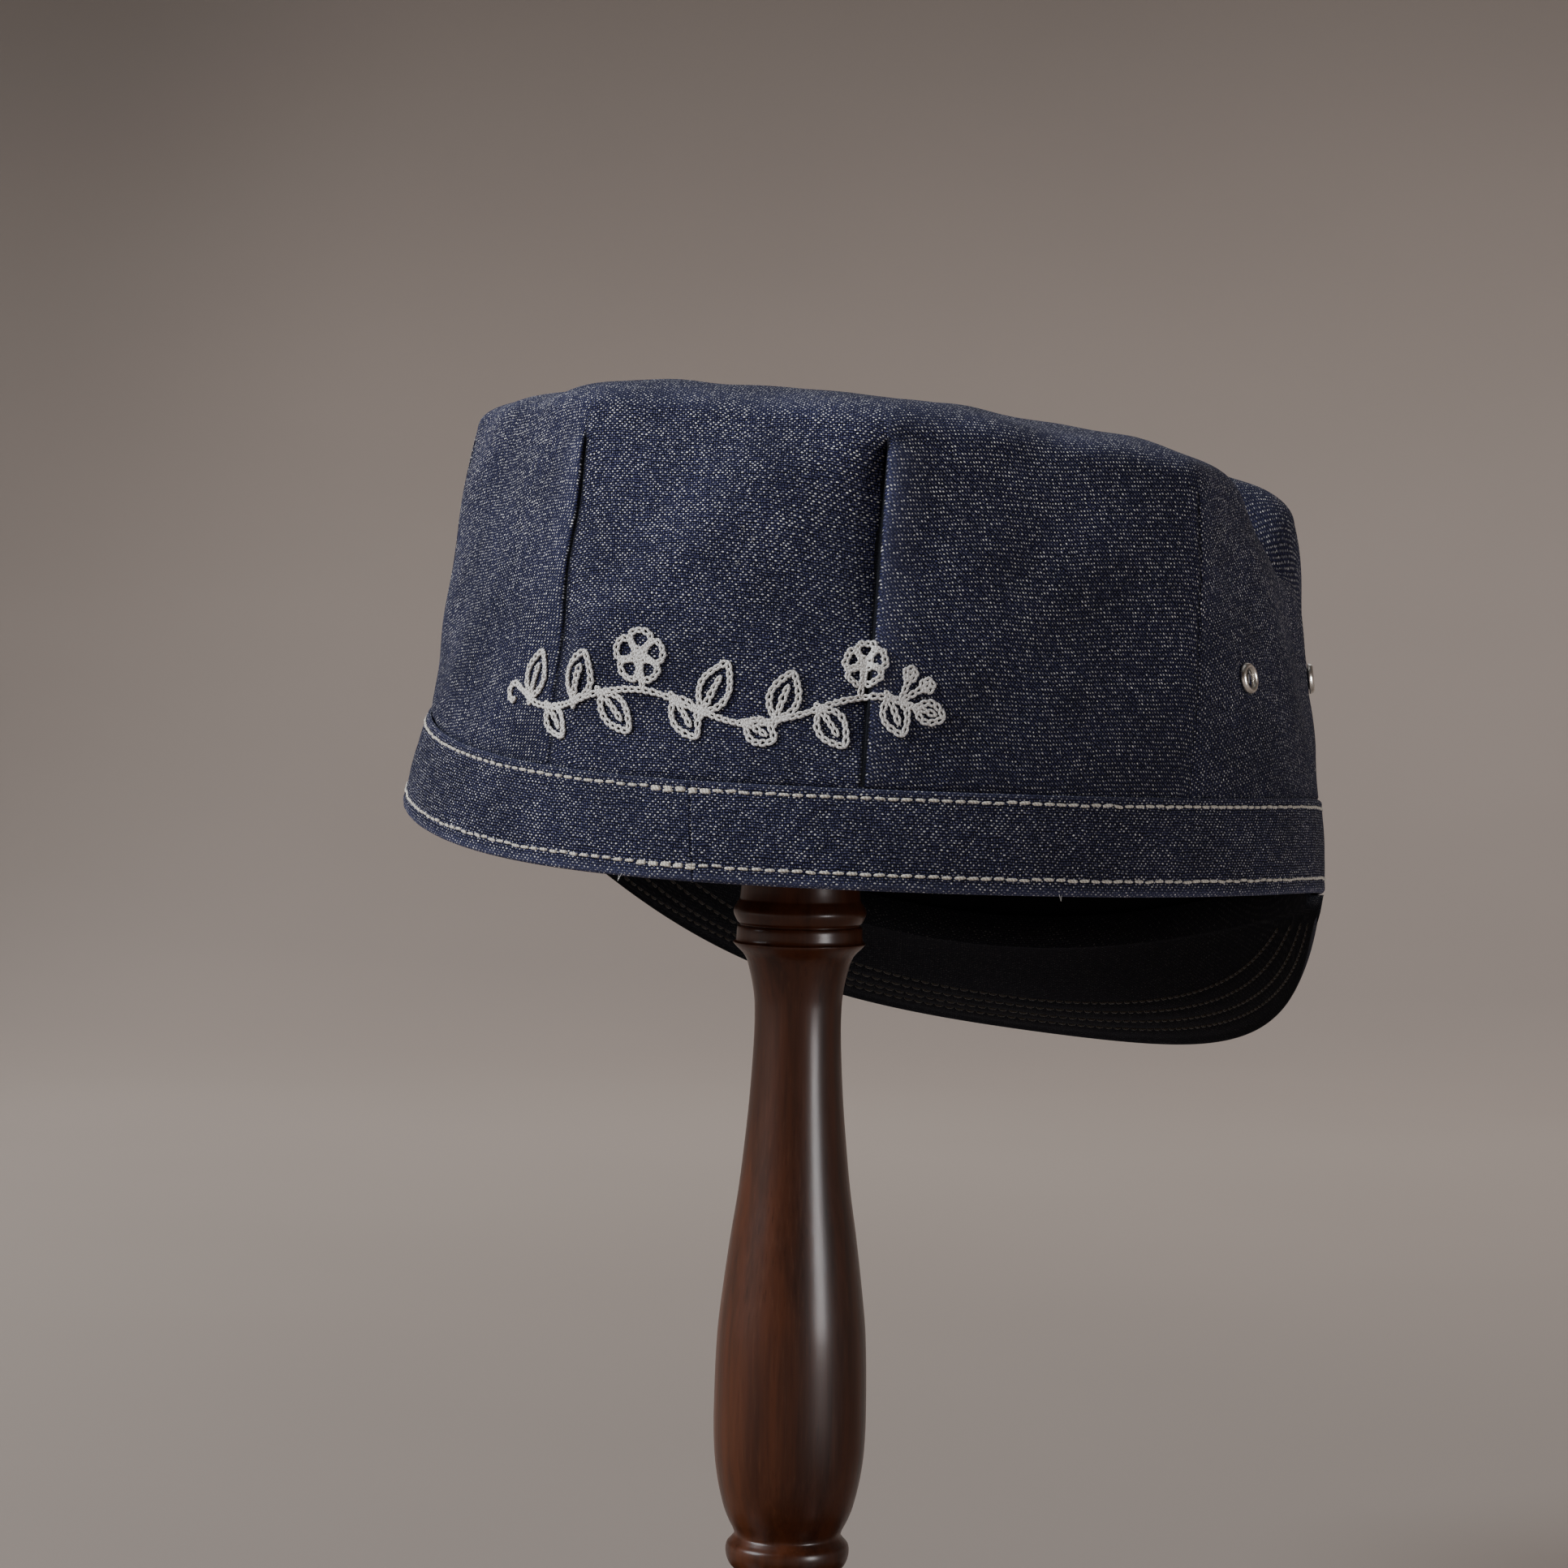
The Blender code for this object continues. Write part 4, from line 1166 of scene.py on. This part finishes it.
FOOT_HEIGHT = 22.0
POST_HEIGHT = 224.8
STAND_GAP = CLEARANCE / MM
FOOT_PROFILE = (
    (0.00, 0.955), (0.02, 0.975), (0.08, 1.00), (0.32, 1.00), (0.41, 0.97), (0.55, 0.86), (0.62, 0.62),
    (0.72, 0.36), (1.00, 0.20),
)
POST_PROFILE = (
    (0.000, 0.84), (0.013, 0.74), (0.034, 0.66), (0.054, 0.67), (0.060, 0.70), (0.066, 0.77),
    (0.075, 0.81), (0.083, 0.80), (0.088, 0.74), (0.093, 0.70), (0.107, 0.79), (0.119, 0.855),
    (0.143, 0.935), (0.170, 0.985), (0.210, 1.00), (0.277, 0.975), (0.322, 0.91), (0.366, 0.83),
    (0.411, 0.735), (0.456, 0.665), (0.500, 0.61), (0.552, 0.57), (0.582, 0.57), (0.597, 0.594),
    (0.612, 0.639), (0.627, 0.71), (0.639, 0.865), (0.6415, 0.83), (0.654, 0.815), (0.656, 0.78),
    (0.659, 0.82), (0.668, 0.87), (0.676, 0.82), (0.680, 0.79), (0.720, 0.74), (0.790, 0.66),
    (0.920, 0.66), (0.975, 0.90), (1.000, 1.25),
)
KNOB_PROFILE = (
    (0.00, 0.42), (0.02, 0.80), (0.10, 0.93), (0.25, 0.99), (0.40, 1.00), (0.56, 0.955), (0.72, 0.83),
    (0.85, 0.65), (0.94, 0.42), (0.985, 0.20),
)
# Name, profile, radius, height and the level of its foot
STAND = (
    ("stand_foot", FOOT_PROFILE, 72.0, FOOT_HEIGHT, 0.0),
    ("stand_post", POST_PROFILE, 15.8, POST_HEIGHT, FOOT_HEIGHT + STAND_GAP),
    ("stand_knob", KNOB_PROFILE, 52.0, 27.0, FOOT_HEIGHT + POST_HEIGHT + 2.0 * STAND_GAP),
)
TURNED_SIDES = 96
PROFILE_STEPS = 5


def rounded(profile, radius, height, foot):
    """A turned profile in metres, with smooth curves between its points."""
    points = np.array([(share_out * radius, foot + share_up * height) for share_up, share_out in profile])
    padded = np.concatenate([points[:1], points, points[-1:]])
    rows = []
    for a, b, c, d in zip(padded, padded[1:], padded[2:], padded[3:]):
        back, span, ahead = (np.linalg.norm(step) for step in (b - a, c - b, d - c))
        leave = (c - a) * span / (back + span)
        arrive = (d - b) * span / (span + ahead)
        for s in (step / PROFILE_STEPS for step in range(PROFILE_STEPS)):
            rows.append((2 * s ** 3 - 3 * s ** 2 + 1) * b + (s ** 3 - 2 * s ** 2 + s) * leave
                        + (3 * s ** 2 - 2 * s ** 3) * c + (s ** 3 - s ** 2) * arrive)
    rows.append(points[-1])
    return np.array(rows) * MM


def round_rows(rows, sides):
    """Points round the z axis for each row of radius and height."""
    turns = TURN * np.arange(sides) / sides
    circle = np.stack([np.cos(turns), np.sin(turns), 0.0 * turns], axis=-1)
    return np.concatenate([circle * radius + UP * height for radius, height in rows])


def stand(finish):
    for name, profile, radius, height, foot in STAND:
        rows = rounded(profile, radius, height, foot)
        ends = np.array([[0.0, 0.0, foot * MM], [0.0, 0.0, (foot + height) * MM]])
        points = np.concatenate([round_rows(rows, TURNED_SIDES), ends])
        faces = ring_faces(len(rows), TURNED_SIDES).tolist() + fans(len(rows), TURNED_SIDES)
        new_mesh(f"{name}_turned", points, faces, finish, "dark_wood", (name,))


# Materials

class Value:
    """What a node gives. Sums, differences, products and quotients of values add nodes."""

    def __init__(self, finish, socket):
        self.finish = finish
        self.socket = socket

    def __add__(self, other):
        return self.finish.math("ADD", self, other)

    def __sub__(self, other):
        return self.finish.math("SUBTRACT", self, other)

    def __mul__(self, other):
        return self.finish.math("MULTIPLY", self, other)

    def __truediv__(self, other):
        return self.finish.math("DIVIDE", self, other)


class Finish:
    """One material's nodes. Most calls add a node and give its value."""

    def __init__(self, name):
        self.material = bpy.data.materials.new(name)
        self.material.use_nodes = True
        self.tree = self.material.node_tree
        self.shader = self.tree.nodes["Principled BSDF"]

    def put(self, socket, value):
        if isinstance(value, Value):
            self.tree.links.new(value.socket, socket)
        else:
            socket.default_value = value

    def set(self, **values):
        for label, value in values.items():
            self.put(self.shader.inputs[label.replace("_", " ")], value)

    def node(self, kind, inputs=(), output=0, **settings):
        """The value of a new node, with its settings, and its inputs in order or by label."""
        node = self.tree.nodes.new("ShaderNode" + kind)
        for label, setting in settings.items():
            setattr(node, label, setting)
        for label, value in inputs.items() if isinstance(inputs, dict) else enumerate(inputs):
            self.put(node.inputs[label], value)
        return Value(self, node.outputs[output])

    def math(self, operation, *values):
        return self.node("Math", values, operation=operation)

    def ramp(self, value, low=0.0, high=1.0, to_low=0.0, to_high=1.0):
        """Value moved from one range to another, smoothly and held at both ends."""
        return self.node("MapRange", (value, low, high, to_low, to_high), interpolation_type="SMOOTHSTEP")

    def spread(self, value, low, high):
        return self.ramp(value, 0.0, 1.0, low, high)

    def mix(self, share, first, second):
        first, second = ((*value, 1.0) if isinstance(value, tuple) else value for value in (first, second))
        return self.node("Mix", {"Factor": share, 6: first, 7: second}, 2, data_type="RGBA")

    def scale(self, colour, share):
        return self.node("VectorMath", {0: colour, "Scale": share}, operation="SCALE")

    def vector(self, x, y, z=0.0):
        return self.node("CombineXYZ", (x, y, z))

    def parts(self, vector):
        node = self.tree.nodes.new("ShaderNodeSeparateXYZ")
        self.put(node.inputs[0], vector)
        return [Value(self, socket) for socket in node.outputs]

    def cloth(self):
        return self.parts(self.node("UVMap", uv_map="cloth"))[:2]

    def place(self):
        return self.node("TexCoord", output="Object")

    def share(self, label):
        return self.node("Attribute", output="Fac", attribute_name=label)

    def noise(self, vector, scale, detail=2.0, rough=0.5):
        inputs = {"Vector": vector, "Scale": scale, "Detail": detail, "Roughness": rough}
        return self.node("TexNoise", inputs, "Fac")

    def stretched(self, x, y, scales, detail=2.0):
        """Noise that has its own scale along each of two values."""
        return self.noise(self.vector(x * scales[0], y * scales[1]), 1.0, detail)

    def chance(self, x, y):
        return self.node("TexWhiteNoise", {"Vector": self.vector(x, y)}, "Value", noise_dimensions="2D")

    def bump(self, height, distance, strength=1.0):
        return self.node("Bump", {"Height": height, "Distance": distance, "Strength": strength})


# Denim's weave, in mm
WEFT_REPEAT = 1.04
PICK = 0.49
PICK_SHIFT = 0.40
WARP_PITCH = WEFT_REPEAT / 3.0
# Noises, as scale and detail or as scales along two values, and how far the first two move the yarns
WOBBLE = (0.35, 2.0)
WOBBLE_ACROSS = 0.6
WOBBLE_ALONG = 0.4
TREMBLE = (1.1, 1.0)
TREMBLE_ACROSS = 0.15
CLOUD = (0.055, 3.0)
SLUB = (0.10, 0.61)
STREAK = (0.83, 0.045)
FIBRE = (9.0, 2.2)
# Dots of weft and floats of warp, as shares of a repeat and of a pick
DOT_PLACE = (0.22, 0.38)
DOT_LEVEL = (0.40, 0.60)
DOT_HALF_WIDTH = (0.15, 0.25)
DOT_HALF_HEIGHT = 0.34
DOT_EDGE = (0.62, 1.15)
FLOAT_PLACES = (0.40, 0.69)
FLOAT_HALF_WIDTH = 0.13
FLOAT_HALF_HEIGHT = 0.42
FLOAT_EDGE = (0.45, 1.12)
OVAL_SLANT = 0.03
# Shifts that give further chances for the same dot
OTHER_CHANCE = 71.0
THIRD_CHANCE = 143.0
# Tones of the yarns: each range that is read, and what it becomes
FIBRE_TONES = (0.2, 0.8, 0.72, 1.28)
CLOUD_TONES = (0.25, 0.75, 0.82, 1.18)
# Painted light: the cloth's tone by the height share, lighter towards the shoulder
PAINTED_LIGHT_TONES = (0.80, 1.04)
STREAK_TONES = (0.28, 0.72, 0.35, 1.0)
WARP_TONES = (0.3, 1.0)
RUB_TONES = (0.30, 0.68, 0.15, 0.85)
SLUB_TONES = (0.3, 0.7, 0.55, 1.30)
# Painted light on the weft's brightness, by the height share
WEFT_PAINTED_LIGHT_TONES = (0.86, 1.08)
WEFT_CONTRAST = 1.8
# Heights of floats, fibres and clouds beside the dots, in shares
FLOAT_HEIGHT = 0.75
FIBRE_HEIGHT = 0.4
CLOUD_HEIGHT = 1.2
# Colours: gaps, warp from dark to light, worn cloth, weft from dark to light, and deep shade
INDIGO_DENIM = (
    (0.0024, 0.0024, 0.0080), (0.019, 0.0202, 0.072), (0.074, 0.0760, 0.212), (0.080, 0.085, 0.165),
    (0.100, 0.102, 0.168), (0.96, 0.935, 0.94), (0.0012, 0.0012, 0.0022),
)
# A darker copy of the denim for the peak: painted shade
SHADED_DENIM = (
    (0.0030, 0.0030, 0.0075), (0.012, 0.0125, 0.026), (0.040, 0.041, 0.070), (0.050, 0.054, 0.095),
    (0.040, 0.041, 0.055), (0.45, 0.44, 0.42), (0.0022, 0.0022, 0.0030),
)


def denim_finish(name, gap, warp_low, warp_high, worn, weft_low, weft_high, deep):
    """Twill: a pale dot of weft and two blue floats of warp in each repeat, with dark gaps between."""
    finish = Finish(name)
    u, v = finish.cloth()
    field = finish.vector(u, v)
    wobble, tremble, cloud = (finish.noise(field, *noise) for noise in (WOBBLE, TREMBLE, CLOUD))
    picks = (v + wobble * WOBBLE_ACROSS + tremble * TREMBLE_ACROSS) / PICK
    pick = finish.math("FLOOR", picks)
    along = (u + wobble * WOBBLE_ALONG) / WEFT_REPEAT - pick * (PICK_SHIFT / WEFT_REPEAT)
    dot = finish.math("FLOOR", along)
    chance = finish.chance(dot, pick)
    other = finish.chance(dot + OTHER_CHANCE, pick)
    third = finish.chance(dot + THIRD_CHANCE, pick)
    beside = along - dot - finish.spread(third, *DOT_PLACE)
    across = picks - pick - finish.spread(other, *DOT_LEVEL)

    def oval(shift, half_wide, half_high):
        off_u = (beside - shift) / half_wide
        off_v = (across + off_u * OVAL_SLANT) / half_high
        return finish.math("SQRT", off_u * off_u + off_v * off_v)

    dots = finish.ramp(oval(0.0, finish.spread(other, *DOT_HALF_WIDTH), DOT_HALF_HEIGHT), *DOT_EDGE, 1.0, 0.0)
    near, far = (oval(place, FLOAT_HALF_WIDTH, FLOAT_HALF_HEIGHT) for place in FLOAT_PLACES)
    floats = finish.ramp(finish.math("MINIMUM", near, far), *FLOAT_EDGE, 1.0, 0.0)
    slub = finish.stretched(u, pick, SLUB)
    streak = finish.stretched(finish.math("FLOOR", u / WARP_PITCH), v, STREAK)
    fibre = finish.stretched(u, v, FIBRE)
    # Painted light: the height share makes the tone and the weft lighter up the crown and darker on the band
    painted_top_light = finish.share("painted_top_light")
    shade = finish.ramp(fibre, *FIBRE_TONES) * finish.ramp(cloud, *CLOUD_TONES)
    shade = shade * finish.spread(painted_top_light, *PAINTED_LIGHT_TONES)
    lit_warp = finish.ramp(streak, *STREAK_TONES) * finish.spread(third, *WARP_TONES)
    warp = finish.mix(lit_warp, warp_low, warp_high)
    rub = finish.share("wear") * finish.ramp(fibre, *RUB_TONES)
    ground = finish.mix(rub, finish.mix(floats, gap, warp), worn)
    bright = finish.math("POWER", chance, WEFT_CONTRAST) * finish.ramp(slub, *SLUB_TONES)
    bright = bright * finish.spread(painted_top_light, *WEFT_PAINTED_LIGHT_TONES)
    colour = finish.mix(dots, ground, finish.mix(bright, weft_low, weft_high))
    # Painted shade: inside the cap, under the peak and in the folds' grooves the colour turns to the deep
    # shade colour
    unlit = finish.math("MAXIMUM", finish.share("inside"), finish.share("shade"))
    height = finish.math("MAXIMUM", dots, floats * FLOAT_HEIGHT) + fibre * FIBRE_HEIGHT + cloud * CLOUD_HEIGHT
    finish.set(Base_Color=finish.mix(unlit, finish.scale(colour, shade), deep),
               Normal=finish.bump(height, 0.20 * MM, 0.8), Roughness=finish.ramp(fibre, 0.2, 0.8, 0.82, 0.96))
    finish.set(Sheen_Weight=0.04, Sheen_Roughness=0.5, Sheen_Tint=(0.62, 0.68, 1.0, 1.0),
               Specular_IOR_Level=0.12)
    return finish.material


PLY_LENGTH = 0.62
PLIES = 2.0
FUZZ = (5.0, 9.0)


def thread_finish(name, colour, shadow):
    """Twisted cotton thread: plies wind round it, with painted shade between them."""
    finish = Finish(name)
    along, around = finish.cloth()
    ply = finish.math("SINE", along * (TURN / PLY_LENGTH) + around * (PLIES * TURN))
    raised = finish.ramp(ply, -1.0, 1.0)
    fuzz = finish.stretched(along, around, FUZZ, 3.0)
    tone = finish.ramp(raised, 0.0, 0.8, 0.35, 1.0) * finish.ramp(fuzz, 0.2, 0.7, 0.6, 1.0)
    finish.set(Base_Color=finish.mix(tone, shadow, colour), Roughness=0.85,
               Normal=finish.bump(raised + fuzz * 0.4, 0.09 * MM))
    finish.set(Sheen_Weight=0.3, Sheen_Roughness=0.4, Specular_IOR_Level=0.3)
    return finish.material


def metal_finish():
    """Nickel plate, slightly hazed, with duller patches and fine scratches."""
    finish = Finish("nickel_plate")
    place = finish.place()
    haze = finish.noise(place, 900.0, 3.0)
    mark = finish.noise(place, 4200.0)
    finish.set(Base_Color=finish.mix(finish.ramp(haze, 0.35, 0.7), (0.80, 0.78, 0.74), (0.60, 0.57, 0.52)),
               Metallic=1.0, Roughness=finish.ramp(haze, 0.3, 0.75, 0.14, 0.34),
               Normal=finish.bump(mark, 0.02 * MM, 0.5))
    return finish.material


# Stain of the wood, then layers over it: which noise, its range, the share and the colour
WOOD_STAIN = ((0.034, 0.0092, 0.0035), (0.072, 0.0190, 0.0062))
WOOD_LAYERS = (
    ("fine", 0.50, 0.78, 0.30, (0.12, 0.040, 0.014)), ("fine", 0.44, 0.26, 0.45, (0.010, 0.003, 0.0018)),
    ("cloud", 0.42, 0.72, 0.30, (0.086, 0.028, 0.010)),
)
# Painted shadow of the cap: levels between which the post turns darker towards the cap, and how dark
NECK_PAINTED_SHADOW = (0.150, 0.215)
NECK_SHADOW_TONE = 0.62


def wood_finish():
    """Turned hardwood, stained red-brown and lacquered; the grain runs up the stand."""
    finish = Finish("stained_wood")
    x, y, z = finish.parts(finish.place())
    grain = finish.vector(x, y, z * 0.055)
    fine = finish.noise(grain, 1500.0, 4.0, 0.65)
    broad = finish.noise(grain, 260.0, 3.0, 0.55)
    turning = finish.noise(finish.vector(0.0, 0.0, z), 2600.0)
    noises = {"fine": fine, "cloud": finish.noise(finish.vector(x, y, z * 0.3), 42.0)}
    base = finish.mix(finish.ramp(broad, 0.30, 0.70), *WOOD_STAIN)
    for label, low, high, share, colour in WOOD_LAYERS:
        base = finish.mix(finish.ramp(noises[label], low, high) * share, base, colour)
    # Painted shadow of the cap, darker up the post's neck
    base = finish.scale(base, finish.ramp(z, *NECK_PAINTED_SHADOW, 1.0, NECK_SHADOW_TONE))
    finish.set(Base_Color=base, Roughness=finish.ramp(fine, 0.3, 0.7, 0.36, 0.50),
               Normal=finish.bump(fine * 0.7 + turning * 0.5, 0.04 * MM, 0.5))
    finish.set(Coat_Weight=0.55, Coat_Roughness=0.26, Coat_IOR=1.42, Specular_IOR_Level=0.12)
    return finish.material


PAPER_COLOUR = (0.50, 0.419, 0.367)
# The paper's side way, and its tones of painted light and shade: by distance, by height, and
# twice along that way
PAPER_SIDE = (-0.93, -0.37)
PAPER_OUT = (0.1, 1.6, 0.76, 1.50)
PAPER_UP = (0.2, 1.0, 1.0, 0.5)
PAPER_BROAD = (-1.0, 1.0, 0.86, 1.10)
PAPER_CORNER = (-0.62, -0.30, 0.80, 1.0)
PAPER_CLOUDS = (0.3, 0.7, 0.97, 1.0)


def paper_finish():
    """Seamless studio paper whose tone is painted light and shade: palest low on its rise, darker
    higher up and near the stand.
    """
    finish = Finish("studio_paper")
    place = finish.place()
    x, y, z = finish.parts(place)
    side = x * PAPER_SIDE[0] + y * PAPER_SIDE[1]
    tone = finish.ramp(finish.math("SQRT", x * x + y * y), *PAPER_OUT) * finish.ramp(z, *PAPER_UP)
    tone = tone * finish.ramp(side, *PAPER_BROAD) * finish.ramp(side, *PAPER_CORNER)
    tone = tone * finish.ramp(finish.noise(place, 3.0), *PAPER_CLOUDS)
    finish.set(Base_Color=finish.scale(PAPER_COLOUR, tone), Roughness=0.9, Specular_IOR_Level=0.2)
    return finish.material


# Studio: a round sweep of pale paper, soft lights and the camera

SWEEP_RADIUS = 3.0
SWEEP_CURVE = 1.8
SWEEP_HEIGHT = 3.6
SWEEP_SIDES = 128
SWEEP_STEPS = 24
SWEEP_FLOOR_ROWS = (0.25, 0.8)


def sweep(finish):
    flat = SWEEP_RADIUS - SWEEP_CURVE
    rows = [(radius, 0.0) for radius in (*SWEEP_FLOOR_ROWS, flat)]
    rows += [(flat + SWEEP_CURVE * math.sin(turn), SWEEP_CURVE - SWEEP_CURVE * math.cos(turn))
             for turn in (math.pi / 2.0 * step / SWEEP_STEPS for step in range(1, SWEEP_STEPS + 1))]
    rows.append((SWEEP_RADIUS, SWEEP_HEIGHT))
    points = np.concatenate([round_rows(rows, SWEEP_SIDES), [[0.0, 0.0, 0.0]]])
    faces = ring_faces(len(rows), SWEEP_SIDES)[:, ::-1].tolist()
    faces += [[len(points) - 1, side, (side + 1) % SWEEP_SIDES] for side in range(SWEEP_SIDES)]
    new_mesh("studio_sweep", points, faces, finish)


# The photograph's view: sizes in its pixels, then degrees, metres and the sensor's width in mm
PHOTO_SIZE = 1932
PHOTO_FOCAL = 5000.0
PHOTO_HORIZON = 761.0
PHOTO_STAND_AXIS = 989.0
PHOTO_ROLL = 1.16
CAMERA_ROUND = 21.5
CAMERA_DISTANCE = 0.836
CAMERA_HEIGHT = 0.233
CAMERA_CLIP = (0.01, 50.0)
SENSOR = 36.0


def photo_ways():
    """The camera's level way ahead and way right, before its small turns."""
    turn = math.radians(CAMERA_ROUND)
    return Vector((math.sin(turn), -math.cos(turn), 0.0)), Vector((-math.cos(turn), -math.sin(turn), 0.0))


# Area lights: place right, up and back from the cap as the camera sees it, width, height, power,
# colour, and whether it lights the cloth as well as showing as gloss
LIGHTS = (
    ("key", -1.70, 1.02, 0.52, 1.00, 1.00, 55.0, (0.90, 0.95, 1.0), True),
    ("strip", 1.10, 0.13, 1.05, 0.38, 0.62, 14.5, (1.0, 0.95, 0.93), False),
    ("fill", 1.05, 0.05, 0.95, 0.50, 0.40, 3.6, (0.83, 0.90, 1.0), True),
    ("overhead", -0.10, 1.40, -0.10, 1.2, 1.2, 1.3, (1.0, 0.98, 0.95), True),
    ("far", 0.10, 0.62, -1.00, 0.9, 0.9, 1.7, (1.0, 0.98, 0.95), True),
)
LIT_PLACE = (0.0, 0.0, 0.20)
WORLD_COLOUR = (0.55, 0.52, 0.50, 1.0)
WORLD_STRENGTH = 0.15


def soft_light(name, right, up, back, width, height, power, colour, diffuse):
    view, side = photo_ways()
    away = side * right + Vector((0.0, 0.0, up)) - view * back
    data = bpy.data.lights.new(name, "AREA")
    data.shape = "RECTANGLE"
    data.size = width
    data.size_y = height
    data.energy = power
    data.color = colour
    light = bpy.data.objects.new(name, data)
    light.location = Vector(LIT_PLACE) + away
    light.visible_diffuse = diffuse
    light.rotation_mode = "QUATERNION"
    light.rotation_quaternion = (-away).to_track_quat("-Z", "Y")
    bpy.context.scene.collection.objects.link(light)


def studio():
    sweep(paper_finish())
    for row in LIGHTS:
        soft_light(*row)
    world = bpy.data.worlds.new("studio_air")
    world.use_nodes = True
    air = world.node_tree.nodes["Background"].inputs
    air["Color"].default_value = WORLD_COLOUR
    air["Strength"].default_value = WORLD_STRENGTH
    bpy.context.scene.world = world


def camera():
    view, side = photo_ways()
    up = Vector((0.0, 0.0, 1.0))
    yaw = math.atan((PHOTO_STAND_AXIS - PHOTO_SIZE / 2.0) / PHOTO_FOCAL)
    pitch = math.atan((PHOTO_SIZE / 2.0 - PHOTO_HORIZON) / PHOTO_FOCAL)
    roll = math.radians(PHOTO_ROLL)
    level = view * math.cos(yaw) - side * math.sin(yaw)
    ahead = level * math.cos(pitch) - up * math.sin(pitch)
    right = level.cross(up)
    top = right.cross(ahead)
    across = right * math.cos(roll) + top * math.sin(roll)
    upward = top * math.cos(roll) - right * math.sin(roll)
    data = bpy.data.cameras.new("photo_camera")
    data.lens = PHOTO_FOCAL * SENSOR / PHOTO_SIZE
    data.sensor_width = SENSOR
    data.sensor_fit = "HORIZONTAL"
    data.dof.use_dof = False
    data.clip_start, data.clip_end = CAMERA_CLIP
    made = bpy.data.objects.new("photo_camera", data)
    place = Matrix.Translation(up * CAMERA_HEIGHT - view * CAMERA_DISTANCE)
    made.matrix_world = place @ Matrix((across, upward, -ahead)).transposed().to_4x4()
    bpy.context.scene.collection.objects.link(made)
    bpy.context.scene.camera = made


def main():
    camera()
    studio()
    denim = denim_finish("indigo_denim", *INDIGO_DENIM)
    # The peak takes a darker copy of the denim, painted shade
    under = denim_finish("shaded_denim", *SHADED_DENIM)
    thread = thread_finish("cream_thread", (0.86, 0.81, 0.71), (0.34, 0.29, 0.23))
    # A darker copy of the cream thread for the stitches under the peak: painted shade
    shaded = thread_finish("shaded_thread", (0.050, 0.040, 0.030), (0.016, 0.013, 0.011))
    white = thread_finish("white_thread", (0.93, 0.90, 0.86), (0.44, 0.41, 0.39))
    nickel = metal_finish()
    wood = wood_finish()
    stand(wood)
    crown(denim)
    band(denim)
    peak(under)
    peak_stitches(thread, shaded)
    for seed, (name, depth, angles) in enumerate(STITCH_ROWS, 1):
        band_stitches(f"stitches_{name}", angles, depth, thread, seed)
    back_tacks(thread)
    seam_specks(white)
    vine(white)
    loose_ends(white)
    lint(white)
    eyelets(nickel)


main()
